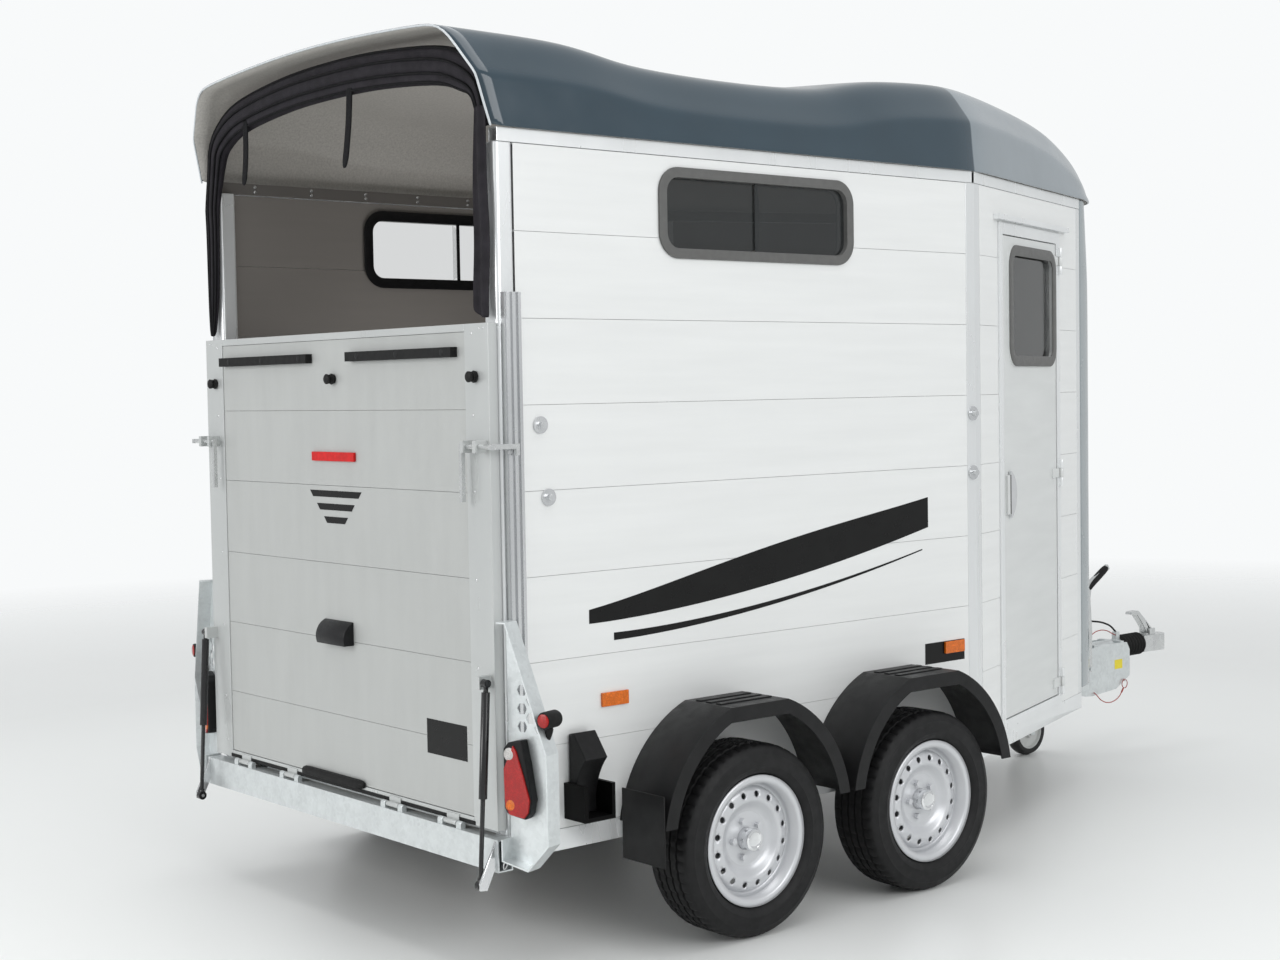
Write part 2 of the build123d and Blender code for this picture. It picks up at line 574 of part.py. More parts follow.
with BuildPart() as wheel_chock:
    with BuildSketch(Plane.YZ.offset(BASE + 243)) as wedge:
        with BuildLine():
            Polyline((-BODY_HALF - 7, 431), (-BODY_HALF - 7, 657), (-BODY_HALF - 30, 662),
                     (-BODY_HALF - 84, 592))
            ThreePointArc((-BODY_HALF - 84, 592), (-BODY_HALF - 40, 520), (-BODY_HALF - 30, 431))
            Line((-BODY_HALF - 30, 431), (-BODY_HALF - 7, 431))
        make_face()
    extrude(wedge.sketch, amount=79)
keep(wheel_chock, "wheel_chock")

# Lamp guards stand outwards from the rear corners and lean forwards in plan
GUARD_LEAN = 16
GUARD_ROOT = 840        # half width at the guard's root
GUARD_SHEET = 3
GUARD_DEPTH = 54        # of the rim that is folded round the sheet
GUARD = ((0, 1000), (30, 1000), (162, 650), (164, 403), (93, 327), (4, 345))
LAMP = ((6, 654), (68, 682), (100, 520), (78, 465), (6, 478))
LAMP_DEPTH = 36
MARKER = (156, 744)
MARKER_RADIUS = 24
lean_sin, lean_cos = sin(radians(GUARD_LEAN)), cos(radians(GUARD_LEAN))


def guard_plane(side, ahead=0):
    """Plane of a lamp guard: X runs outwards along it, Y is up; ahead is in front of the sheet's back."""
    origin = (BASE + 20 + ahead * lean_cos, side * (GUARD_ROOT - ahead * lean_sin), 0)
    return Plane(origin, x_dir=(lean_sin, side * lean_cos, 0), z_dir=(side * lean_cos, -lean_sin, 0))


with BuildPart() as lamp_guards:
    for side, _ in SIDES:
        with BuildSketch(guard_plane(side)) as sheet:
            with BuildLine():
                Polyline(*GUARD, close=True)
            make_face()
            for out, z in ((50, 812), (50, 762), (50, 712), (80, 787), (80, 737), (108, 712)):
                with Locations((out, z)):
                    RegularPolygon(17, 6, mode=Mode.SUBTRACT)
        extrude(sheet.sketch, amount=side * GUARD_SHEET)
        with BuildSketch(guard_plane(side, 10 - GUARD_DEPTH)) as rim:
            with BuildLine():
                Polyline(*GUARD, close=True)
            make_face()
            offset(amount=-4, kind=Kind.INTERSECTION, mode=Mode.SUBTRACT)
            with Locations((9, 700)):
                Rectangle(40, 590, mode=Mode.SUBTRACT)
        extrude(rim.sketch, amount=side * GUARD_DEPTH)
keep(lamp_guards, "lamp_guards")

with BuildPart() as tail_lamps:
    for side, _ in SIDES:
        with BuildSketch(guard_plane(side, -LAMP_DEPTH)) as lamp:
            with BuildLine():
                Polyline(*LAMP, close=True)
            make_face()
        extrude(lamp.sketch, amount=side * (LAMP_DEPTH - 0.2))
        with BuildSketch(guard_plane(side, -50)) as marker:
            with Locations(MARKER):
                Circle(MARKER_RADIUS)
        extrude(marker.sketch, amount=side * 66)
keep(tail_lamps, "tail_lamps")

with BuildPart() as side_reflectors:
    for side, _ in SIDES:
        for station in (417, 1905):
            block((station - 49, station + 49), (side * BODY_HALF, side * (BODY_HALF + 8)), (718, 758))
keep(side_reflectors, "side_reflectors")

# Mudguards, one arch over each wheel, and a flap behind each rear wheel
GUARD_IN, GUARD_OUT = BODY_HALF, 1020
GUARD_SKIN = 4
LIP = 45


def arch(station, shrink):
    """Arch outline over a wheel, drawn in by shrink."""
    low = 380
    half, top = 375 - shrink, 700 - shrink
    diagonal = (400 - shrink) * sqrt(0.5)
    x = BASE + station
    Line((x - 116, top), (x + 116, top))
    ThreePointArc((x + 116, top), (x + diagonal, 300 + diagonal), (x + half, low))
    Line((x + half, low), (x - half, low))
    ThreePointArc((x - half, low), (x - diagonal, 300 + diagonal), (x - 116, top))


with BuildPart() as mudguards:
    for side, _ in SIDES:
        for station in AXLE_STATIONS:
            with BuildSketch(Plane.XZ.offset(-side * GUARD_OUT)) as skin_face:
                with BuildLine():
                    arch(station, 0)
                make_face()
            extrude(skin_face.sketch, amount=side * (GUARD_OUT - GUARD_IN))
            with BuildSketch(Plane.XZ.offset(-side * (GUARD_OUT - GUARD_SKIN))) as room:
                with BuildLine():
                    arch(station, GUARD_SKIN)
                make_face()
            extrude(room.sketch, amount=side * (GUARD_OUT - GUARD_IN), mode=Mode.SUBTRACT)
            with BuildSketch(Plane.XZ.offset(-side * (GUARD_OUT + 5))) as mouth:
                with BuildLine():
                    arch(station, LIP)
                make_face()
            extrude(mouth.sketch, amount=side * 20, mode=Mode.SUBTRACT)
            block((station - 400, station + 400), (side * GUARD_IN, side * (GUARD_OUT + 5)),
                  (370, 381), Mode.SUBTRACT)
        flap = AXLE_STATIONS[0] - 375
        block((flap - 6, flap - 1), (side * 835, side * GUARD_OUT), (275, 480))
keep(mudguards, "mudguards")

# ---------------------------------------------------------------------------
# Ramp: hollow planks, edge profiles, rubber fittings and lights
# ---------------------------------------------------------------------------
plank_half = RAMP_HALF - EDGE_BAND
ramp_rows = (RAMP_TOP - 22,) + RAMP_SEAMS + (RAMP_BOTTOM + 23,)
with BuildPart() as ramp_panel:
    for high, low in zip(ramp_rows, ramp_rows[1:]):
        hollow((3, RAMP_THICK - 2), (SEAM - plank_half, plank_half - SEAM), (low + SEAM, high), PLANK_SKIN, 1)
keep(ramp_panel, "ramp_panel")

with BuildPart() as ramp_frame:
    for side, _ in SIDES:
        hollow((0, RAMP_THICK), (side * plank_half, side * RAMP_HALF), (RAMP_BOTTOM, RAMP_TOP), 3, 2)
    for low, high in ((RAMP_BOTTOM, RAMP_BOTTOM + 22), (RAMP_TOP - 21, RAMP_TOP)):
        hollow((0, RAMP_THICK), (SEAM - plank_half, plank_half - SEAM), (low, high), 3, 1)
    for y in HINGE_SPOTS:
        block((-4, 0), (y - 30, y + 30), (HINGE_Z + 2, 436))
        block((-HINGE_BACK, 0), (y - 30, y + 30), (HINGE_Z, HINGE_Z + 6))
        round_bar((-HINGE_BACK, y - 30, HINGE_Z), (-HINGE_BACK, y + 30, HINGE_Z), KNUCKLE)
        round_bar((-HINGE_BACK, y - 40, HINGE_Z), (-HINGE_BACK, y + 40, HINGE_Z),
                  HINGE_PIN + RUNNING_FIT, Mode.SUBTRACT)
    for side, _ in SIDES:
        # strut bracket: a cheek beside the strut's upper eye
        block((-42, 0), (side * 780, side * 797), (812, 848))
        # bearing blocks of the latch bar
        for near in (728, 786):
            block((-42, 0), (side * near, side * (near + 14)), (1458, 1492))
            round_bar((-28, side * (near - 4), 1475), (-28, side * (near + 20), 1475),
                      7 + RUNNING_FIT, Mode.SUBTRACT)
keep(ramp_frame, "ramp_frame")

with BuildPart() as ramp_rubbers:
    for low, high in ((125, 687), (-660, -104)):
        block((-20, 3), (low, high), (1722, 1750))
    for y, z in ((748, 1666), (-748, 1666)):
        round_bar((-14, y, z), (0, y, z), 14)
    round_bar((-14, 0, 1671), (3, 0, 1671), 14)
keep(ramp_rubbers, "ramp_rubbers")

with BuildPart() as ramp_lights:
    block((-6, 3), (-118, 127), (1421, 1449))
    with BuildSketch(Plane.XZ.offset(-82)) as dome:
        with BuildLine():
            Polyline((BASE + 3, 934), (BASE + 3, 862), (BASE - 30, 862))
            ThreePointArc((BASE - 30, 862), (BASE - 24, 914), (BASE + 3, 934))
        make_face()
    extrude(dome.sketch, amount=164)
keep(ramp_lights, "ramp_lights")

# Anti-luce latches: a bar across the ramp's edge with a hanging lever and a hook
for side, word in SIDES:
    with BuildPart() as latch_lever:
        round_bar((LATCH_X, side * 718, LATCH_Z), (LATCH_X, side * 862, LATCH_Z), 7)
        block((LATCH_X - 6, LATCH_X + 6), (side * 712, side * 724), (1322, LATCH_Z + 8))
        block((LATCH_X - 7, 64), (side * 848, side * 862), (LATCH_Z - 7, LATCH_Z + 7))
        block((52, 64), (side * 848, side * 862), (1450, LATCH_Z))
    keep(latch_lever, f"latch_lever_{word}")

# Gas struts: the rod swings on the foot pin, the tube slides on the rod
top, foot = Vector(*STRUT_TOP), Vector(*STRUT_FOOT)
strut_line = (top - foot).normalized()
strut_length = (top - foot).length


def strut_point(distance, y):
    """A point up the strut from its foot, as (station, y, z)."""
    spot = foot + strut_line * distance
    return (spot.X, y, spot.Y)


for side, word in SIDES:
    y = side * STRUT_Y
    tube_low = strut_length - 25 - STRUT_TUBE
    with BuildPart() as strut_rod:
        round_bar((foot.X, y - 9, foot.Y), (foot.X, y + 9, foot.Y), STRUT_EYE)
        round_bar(strut_point(6, y), strut_point(22, y), 9)
        round_bar(strut_point(12, y), strut_point(tube_low + 40, y), STRUT_ROD)
        round_bar((foot.X, y - 12, foot.Y), (foot.X, y + 12, foot.Y), PIN + RUNNING_FIT, Mode.SUBTRACT)
    keep(strut_rod, f"strut_rod_{word}")
    with BuildPart() as strut_tube:
        round_bar(strut_point(tube_low, y), strut_point(strut_length - 24, y), STRUT_RADIUS)
        round_bar(strut_point(strut_length - 26, y), strut_point(strut_length - 4, y), 7)
        round_bar(strut_point(tube_low - 1, y), strut_point(strut_length - 31, y),
                  STRUT_ROD + RUNNING_FIT, Mode.SUBTRACT)
        round_bar((top.X, y - side * 11, top.Y), (top.X, y + side * 9, top.Y), 11)
    keep(strut_tube, f"strut_tube_{word}")

# ---------------------------------------------------------------------------
# Wheels
# ---------------------------------------------------------------------------
HUB_RADIUS = 34
BOLT_CIRCLE = 56
VENT_CIRCLE = 135
VENT_RADIUS = 9
for side, word in SIDES:
    for station, row in zip(AXLE_STATIONS, WHEEL_NAMES):
        spin_plane = Plane((BASE + station, 0, TYRE_RADIUS), x_dir=(1, 0, 0), z_dir=(0, 0, 1))
        spin_axis = Axis((BASE + station, 0, TYRE_RADIUS), (0, 1, 0))
        centre = side * WHEEL_Y
        half = TYRE_WIDTH / 2

        def at(radius, out):
            """A point of a wheel section: radius from the axle, out from the tyre's middle."""
            return (radius, centre + side * out)

        with BuildPart() as tyre:
            with BuildSketch(spin_plane) as section:
                with BuildLine():
                    tread = TYRE_RADIUS
                    shoulder = tread - SHOULDER_DROP
                    widest = RIM_FLANGE + SIDEWALL_BULGE * (shoulder - RIM_FLANGE)
                    Polyline(at(RIM_FLANGE + 2, 12 - half), at(RIM_FLANGE + 1.5, 20 - half),
                             at(RIM_SEAT + 1, 21 - half), at(RIM_SEAT + 1, half - 21),
                             at(RIM_FLANGE + 1.5, half - 20), at(RIM_FLANGE + 2, half - 12))
                    ThreePointArc(at(RIM_FLANGE + 2, half - 12), at(widest, half),
                                  at(shoulder, half - 4))
                    ThreePointArc(at(shoulder, half - 4), at(tread - 8, half - 11), at(tread, half - 28))
                    Line(at(tread, half - 28), at(tread, 28 - half))
                    ThreePointArc(at(tread, 28 - half), at(tread - 8, 11 - half), at(shoulder, 4 - half))
                    ThreePointArc(at(shoulder, 4 - half), at(widest, -half),
                                  at(RIM_FLANGE + 2, 12 - half))
                make_face()
                for groove in (-42, -14, 14, 42):
                    with Locations(at(tread, groove)):
                        Rectangle(14, 8, mode=Mode.SUBTRACT)
            revolve(section.sketch, axis=spin_axis)
        keep(tyre, f"tyre_{row}_{word}")

        with BuildPart() as rim:
            with BuildSketch(spin_plane) as section:
                with BuildLine():
                    Polyline(at(RIM_SEAT, 68 - half + 6), at(RIM_SEAT, 20 - half), at(RIM_FLANGE, 18 - half),
                             at(RIM_FLANGE, 13 - half), at(RIM_SEAT - 4, 15 - half),
                             at(RIM_SEAT - 5, 70 - half), at(158, 0), at(158, 30), at(RIM_SEAT - 5, 40),
                             at(RIM_SEAT - 5, half - 15), at(RIM_FLANGE, half - 13),
                             at(RIM_FLANGE, half - 18), at(RIM_SEAT, half - 20), at(RIM_SEAT, 36),
                             at(162, 27), at(162, 4), close=True)
                make_face()
                with BuildLine():
                    Polyline(at(160, 25), at(151, 48), at(118, 56), at(92, 34), at(80, 30),
                             at(HUB_RADIUS, 30), at(HUB_RADIUS, 25), at(82, 25), at(94, 29),
                             at(119, 51), at(148, 43), at(160, 15), close=True)
                make_face()
            revolve(section.sketch, axis=spin_axis)
            disc_out = Plane((BASE + station, centre + side * 60, TYRE_RADIUS), x_dir=(1, 0, 0),
                             z_dir=(0, -side, 0))
            with BuildSketch(disc_out) as vents:
                with PolarLocations(VENT_CIRCLE, 16, start_angle=11.25):
                    Circle(VENT_RADIUS)
            extrude(vents.sketch, amount=40, mode=Mode.SUBTRACT)
            # hub, brake drum and wheel bolts turn with the rim
            with BuildSketch(spin_plane) as hub:
                with BuildLine():
                    Polyline(at(STUB_RADIUS + RUNNING_FIT, -92), at(112, -92), at(112, -44), at(72, -36),
                             at(72, 24.5), at(HUB_RADIUS - 1, 24.5), at(HUB_RADIUS - 1, 58), at(20, 68),
                             at(0, 70), at(0, 30), at(STUB_RADIUS + RUNNING_FIT, 30), close=True)
                make_face()
            revolve(hub.sketch, axis=spin_axis)
            head = Plane((BASE + station, centre + side * 44, TYRE_RADIUS), x_dir=(1, 0, 0),
                         z_dir=(0, -side, 0))
            with BuildSketch(head) as bolts:
                with PolarLocations(BOLT_CIRCLE, 5, start_angle=36):
                    RegularPolygon(10, 6)
            extrude(bolts.sketch, amount=22)
        keep(rim, f"rim_{row}_{word}")

# ---------------------------------------------------------------------------
# Inside: partition on its front post, breast bars and rump bars
# ---------------------------------------------------------------------------
POST_STATION = 1960
POST_TOP = 1560
WALL_INNER = BODY_HALF - PLANK_THICK
BAR_SPOTS = ((370, 1400), (2040, 1300))


def bar_room(station):
    """Half width between the walls at a station, as a cross bar finds it."""
    return WALL_INNER - max(0, station - SIDE_LENGTH + 40) * tan(radians(FRONT_ANGLE))


with BuildPart() as stall_fittings:
    hollow((POST_STATION - 25, POST_STATION + 25), (-25, 25), (FLOOR_TOP, POST_TOP), 3, 2)
    block((POST_STATION - 60, POST_STATION + 60), (-60, 60), (FLOOR_TOP, FLOOR_TOP + 8))
    for z in (700, 1450):
        round_bar((POST_STATION - 38, 0, z - 30), (POST_STATION - 38, 0, z + 60), 6)
        block((POST_STATION - 40, POST_STATION - 24), (-6, 6), (z - 30, z - 6))
    for station, z in BAR_SPOTS:
        room = bar_room(station)
        for side, _ in SIDES:
            faces = (side * (room - 40), side * (room - (1 if station < SIDE_LENGTH else 16)))
            block((station - 32, station + 32), faces, (z - 34, z + 20))
            block((station - 20.5, station + 20.5), (side * (room - 41), side * (room - 8)),
                  (z - 20.5, z + 30), Mode.SUBTRACT)
keep(stall_fittings, "stall_fittings")

PARTITION_AXIS = POST_STATION - 38
with BuildPart() as partition_panel:
    hollow((460, PARTITION_AXIS - 14), (-15, 15), (640, 670), 3, 0)
    hollow((460, PARTITION_AXIS - 14), (-15, 15), (1500, 1530), 3, 0)
    for station in (430, PARTITION_AXIS - 44):
        hollow((station, station + 30), (-15, 15), (640, 1530), 3, 2)
    block((470, PARTITION_AXIS - 54), (-22, 22), (680, 1490))
    for z in (700, 1450):
        block((PARTITION_AXIS - 16, PARTITION_AXIS), (-6, 6), (z, z + 40))
        round_bar((PARTITION_AXIS, 0, z - 5), (PARTITION_AXIS, 0, z + 40), 11)
        round_bar((PARTITION_AXIS, 0, z - 12), (PARTITION_AXIS, 0, z + 50), 6 + RUNNING_FIT, Mode.SUBTRACT)
keep(partition_panel, "partition_panel")

for label, (station, z) in zip(("rump_bars", "breast_bars"), BAR_SPOTS):
    room = bar_room(station) - 16
    with BuildPart() as bars:
        round_bar((station, -room, z), (station, room, z), 20)
        for side, _ in SIDES:
            round_bar((station, side * 70, z), (station, side * (room - 80), z), 34)
    keep(bars, label)

# ---------------------------------------------------------------------------
# Overrun coupling, handbrake and jockey wheel
# ---------------------------------------------------------------------------
LEVER_PIVOT = (3640, 400)
LEVER_Y = 84
CABLE_BOLT = (3914, 317)
with BuildPart() as overrun_housing:
    for side, _ in SIDES:
        outline = [(3590, 290), (3590, 440), (3640, 470), (3760, 488), (3940, 482), (3960, 450),
                   (3960, 335), (3860, 285), (3690, 272), (3640, 276)]
        plate(outline, side, 66, 6)
    round_bar((3700, 0, COUPLING_Z), (HOUSING[1], 0, COUPLING_Z), 36)
    for station in (3712, 3900):
        block((station, station + 24), (-61, 61), (COUPLING_Z - 34, COUPLING_Z + 34))
    block((3600, 3680), (-61, 61), (300, 312))
    block(LEAD_CLIP[0], (-12, 12), LEAD_CLIP[1])
    round_bar((3690, 0, COUPLING_Z), (HOUSING[1] + 5, 0, COUPLING_Z), TUBE_RADIUS + TUBE_CLEAR,
              Mode.SUBTRACT)
    # pivot pin of the handbrake lever and the bolt that the cable's ring hangs on
    round_bar((LEVER_PIVOT[0], -64, LEVER_PIVOT[1]), (LEVER_PIVOT[0], -100, LEVER_PIVOT[1]), 8)
    round_bar((CABLE_BOLT[0], -64, CABLE_BOLT[1]), (CABLE_BOLT[0], -77, CABLE_BOLT[1]), 3.5)
keep(overrun_housing, "overrun_housing")

with BuildPart() as coupling_head:
    round_bar((3790, 0, COUPLING_Z), (4150, 0, COUPLING_Z), TUBE_RADIUS)
    with BuildSketch(Plane.XY.offset(COUPLING_Z - 38)) as shell:
        with BuildLine():
            Polyline((BASE + 4120, -30), (BASE + 4180, -36), (BASE + BALL_STATION, -42))
            ThreePointArc((BASE + BALL_STATION, -42), (BASE + HEAD_NOSE, 0), (BASE + BALL_STATION, 42))
            Polyline((BASE + BALL_STATION, 42), (BASE + 4180, 36), (BASE + 4120, 30), (BASE + 4120, -30))
        make_face()
    extrude(shell.sketch, amount=72)
    with BuildSketch(Plane.XY.offset(COUPLING_Z - 38)) as socket:
        with Locations((BASE + BALL_STATION, 0)):
            Circle(BALL_RADIUS)
    extrude(socket.sketch, amount=48, mode=Mode.SUBTRACT)
    for side, _ in SIDES:
        block((4165, 4205), (side * 20, side * 28), (COUPLING_Z + 34, COUPLING_Z + 62))
    round_bar((4186, -30, COUPLING_Z + 50), (4186, 30, COUPLING_Z + 50), 5)
keep(coupling_head, "coupling_head")

with BuildPart() as coupling_handle:
    with BuildSketch(Plane.XZ.offset(-17)) as lever:
        with BuildLine():
            Polyline((BASE + 4196, COUPLING_Z + 39), (BASE + 4200, COUPLING_Z + 60),
                     (BASE + 4150, COUPLING_Z + 104), (BASE + 4098, COUPLING_Z + 148),
                     (BASE + 4046, COUPLING_Z + 146), (BASE + 4043, COUPLING_Z + 134),
                     (BASE + 4088, COUPLING_Z + 130), (BASE + 4126, COUPLING_Z + 90),
                     (BASE + 4168, COUPLING_Z + 39), close=True)
        make_face()
    extrude(lever.sketch, amount=34)
    round_bar((4186, -20, COUPLING_Z + 50), (4186, 20, COUPLING_Z + 50), 5 + RUNNING_FIT, Mode.SUBTRACT)
keep(coupling_handle, "coupling_handle")

BELLOWS = (LEAD_CLIP[0][1] + 2, 4118)
with BuildPart() as bellows:
    with BuildSketch(Plane((BASE, 0, COUPLING_Z), x_dir=(1, 0, 0), z_dir=(0, -1, 0))) as section:
        folds = 7
        pitch = (BELLOWS[1] - BELLOWS[0]) / folds
        ridge = [(BELLOWS[0], 38)]
        for fold in range(folds):
            ridge += [(BELLOWS[0] + (fold + 0.5) * pitch, 50), (BELLOWS[0] + (fold + 1) * pitch, 40)]
        with BuildLine():
            bottom = TUBE_RADIUS + TUBE_CLEAR
            Polyline(*ridge, (BELLOWS[1], bottom), (BELLOWS[0], bottom), close=True)
        make_face()
    revolve(section.sketch, axis=Axis((BASE, 0, COUPLING_Z), (1, 0, 0)))
keep(bellows, "bellows")

with BuildPart() as handbrake_lever:
    with BuildSketch(Plane.XZ.offset(LEVER_Y + 8)) as lever:
        with BuildLine():
            x, z = BASE + LEVER_PIVOT[0], LEVER_PIVOT[1]
            Polyline((x - 14, z - 16), (x + 14, z - 16), (x + 17, z + 160), (x + 6, z + 300),
                     (x + 14, z + 346), (x + 143, z + 418), (x + 131, z + 438), (x - 18, z + 362),
                     (x - 24, z + 300), (x - 9, z + 160), close=True)
        make_face()
    extrude(lever.sketch, amount=-16)
    round_bar((LEVER_PIVOT[0], -70, LEVER_PIVOT[1]), (LEVER_PIVOT[0], -105, LEVER_PIVOT[1]),
              8 + RUNNING_FIT, Mode.SUBTRACT)
keep(handbrake_lever, "handbrake_lever")

# Jockey wheel: clamp tube on the left drawbar arm, stem, crank, fork and wheel
JOCKEY = (3540, 205)
JOCKEY_RADIUS = 104
STEM_RADIUS = 24
with BuildPart() as jockey_clamp:
    round_bar((*JOCKEY, 300), (*JOCKEY, 660), 30)
    block((JOCKEY[0] - 34, JOCKEY[0] + 34), (140, JOCKEY[1] - 20), (330, 400))
    round_bar((*JOCKEY, 290), (*JOCKEY, 640), STEM_RADIUS + TUBE_CLEAR, Mode.SUBTRACT)
    round_bar((*JOCKEY, 630), (*JOCKEY, 670), 8 + RUNNING_FIT, Mode.SUBTRACT)
keep(jockey_clamp, "jockey_clamp")

with BuildPart() as jockey_stem:
    round_bar((*JOCKEY, 236), (*JOCKEY, 440), STEM_RADIUS)
    round_bar((*JOCKEY, 246), (*JOCKEY, 450), 10, Mode.SUBTRACT)
    round_bar((*JOCKEY, 216), (*JOCKEY, 240), 9)
keep(jockey_stem, "jockey_stem")

with BuildPart() as jockey_crank:
    round_bar((*JOCKEY, 330), (*JOCKEY, 700), 8)
    block((JOCKEY[0] - 9, JOCKEY[0] + 9), (JOCKEY[1] - 9, JOCKEY[1] + 100), (692, 702))
    round_bar((JOCKEY[0], JOCKEY[1] + 88, 702), (JOCKEY[0], JOCKEY[1] + 88, 790), 12)
keep(jockey_crank, "jockey_crank")

FORK_TRAIL = 36
wheel_x = JOCKEY[0] + FORK_TRAIL
with BuildPart() as jockey_fork:
    block((JOCKEY[0] - 26, wheel_x + 14), (JOCKEY[1] - 42, JOCKEY[1] + 42), (218, 226))
    for side, _ in SIDES:
        faces = (JOCKEY[1] + side * 36, JOCKEY[1] + side * 42)
        outline = [(JOCKEY[0] - 26, 222), (wheel_x + 14, 222), (wheel_x + 14, 90), (wheel_x - 14, 90)]
        with BuildSketch(Plane.XZ.offset(-faces[1])) as cheek:
            with BuildLine():
                Polyline(*[(BASE + x, z) for x, z in outline], close=True)
            make_face()
        extrude(cheek.sketch, amount=side * 6)
    round_bar((wheel_x, JOCKEY[1] - 42, JOCKEY_RADIUS), (wheel_x, JOCKEY[1] + 42, JOCKEY_RADIUS), 8)
    round_bar((*JOCKEY, 214), (*JOCKEY, 230), 9 + RUNNING_FIT, Mode.SUBTRACT)
keep(jockey_fork, "jockey_fork")

with BuildPart() as jockey_wheel:
    with BuildSketch(Plane((BASE + wheel_x, 0, JOCKEY_RADIUS), x_dir=(1, 0, 0), z_dir=(0, 0, 1))) as section:
        with BuildLine():
            y = JOCKEY[1]
            Polyline((8 + RUNNING_FIT, y - 32), (26, y - 32), (30, y - 12), (70, y - 12), (76, y - 25),
                     (96, y - 27))
            ThreePointArc((96, y - 27), (JOCKEY_RADIUS, y), (96, y + 27))
            Polyline((96, y + 27), (76, y + 25), (70, y + 12), (30, y + 12), (26, y + 32),
                     (8 + RUNNING_FIT, y + 32), (8 + RUNNING_FIT, y - 32))
        make_face()
    revolve(section.sketch, axis=Axis((BASE + wheel_x, 0, JOCKEY_RADIUS), (0, 1, 0)))
keep(jockey_wheel, "jockey_wheel")

# ---------------------------------------------------------------------------
# Rolled weather curtain over the rear opening, as plain soft solids
# ---------------------------------------------------------------------------
with BuildPart() as rolled_tarp:
    roll = [(-700, 2500), (-560, 2560), (-280, 2590), (0, 2598), (280, 2590), (560, 2560), (700, 2500)]
    spans = list(zip(roll, roll[1:]))
    for (y0, z0), (y1, z1) in spans:
        with BuildSketch(Plane.YZ.offset(BASE + 2)) as piece:
            with BuildLine():
                Polyline((y0, z0 - 30), (y0, z0 + 30), (y1, z1 + 30), (y1, z1 - 30), close=True)
            make_face()
        extrude(piece.sketch, amount=66)
    for side, _ in SIDES:
        with BuildSketch(Plane.YZ.offset(BASE + 2)) as curtain:
            with BuildLine():
                Polyline((side * 702, 2480), (side * 790, 2470), (side * 806, 2360), (side * 806, 1840),
                         (side * 780, 1822), (side * 750, 1900), (side * 702, 2380), close=True)
            make_face()
        extrude(curtain.sketch, amount=28)
keep(rolled_tarp, "rolled_tarp")

with BuildPart() as tarp_straps:
    for (y0, z0), (y1, z1) in (((-116, 2556), (-73, 2297)), ((527, 2520), (544, 2306))):
        with BuildSketch(Plane.YZ.offset(BASE + 20)) as strap:
            with BuildLine():
                Polyline((y0 - 12, z0), (y0 + 12, z0), (y1 + 12, z1), (y1 - 12, z1), close=True)
            make_face()
        extrude(strap.sketch, amount=3)
keep(tarp_straps, "tarp_straps")

# ---------------------------------------------------------------------------
# Cords, each held at both ends: the lighting lead and the breakaway cable
# ---------------------------------------------------------------------------
def cord(points, radius):
    """A round cord through straight runs joined by the largest tangent arcs; prints what it made."""
    spots = [Vector(BASE + x, y, z) for x, y, z in points]
    runs = [b - a for a, b in zip(spots, spots[1:])]
    bends = [0.45 * min(a.length, b.length) / tan(radians(a.get_angle(b) / 2))
             for a, b in zip(runs, runs[1:])]
    with BuildLine(mode=Mode.PRIVATE) as route:
        path = FilletPolyline(*spots, radius=bends)
    with BuildSketch(Plane(spots[0], z_dir=runs[0])) as disc:
        Circle(radius)
    sweep(disc.sketch, path=route.line)
    print("cord", round(path.length, 1), "tightest", round(min(bends), 1),
          "section x length", round(path.length * 3.14159265 * radius ** 2))


LEAD = ((3480, 10, 562), (3540, 9, 578), (3640, 7, 589), (3752, 4, 587), (3850, 2, 573),
        (3912, 1, 552), (3949, 0, LEAD_CLIP[1][1]))
with BuildPart() as electric_lead:
    cord(LEAD, 4)
print("lead volume", round(electric_lead.part.volume))
keep(electric_lead, "electric_lead")

UPPER_RUN = ((3724, -24, COUPLING_Z + 34), (3727, -24, 508), (3743, -22, 528), (3782, -18, 540),
             (3832, -14, 542), (3876, -11, 533), (3910, -9, 518), (3937, -8, 508))
LOWER_RUN = ((3700, -66, 287), (3702, -80, 277), (3715, -87, 258), (3745, -90, 242),
             (3785, -90, 236), (3825, -88, 242), (3860, -83, 254), (3888, -76, 272))
with BuildPart() as breakaway_cable:
    cord(UPPER_RUN, 2)
    cord(LOWER_RUN, 2)
    print("cable volume", round(breakaway_cable.part.volume))
    round_bar((3884, -77, 269), (3901, -73, 283), 3.5)
    ring_plane = Plane((BASE + CABLE_BOLT[0], -71.5, CABLE_BOLT[1] - 14.5), z_dir=(0, 1, 0))
    with Locations(ring_plane):
        Torus(19, 1.75)
keep(breakaway_cable, "breakaway_cable")
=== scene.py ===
import math

import bmesh
import bpy
from mathutils import Matrix, Vector


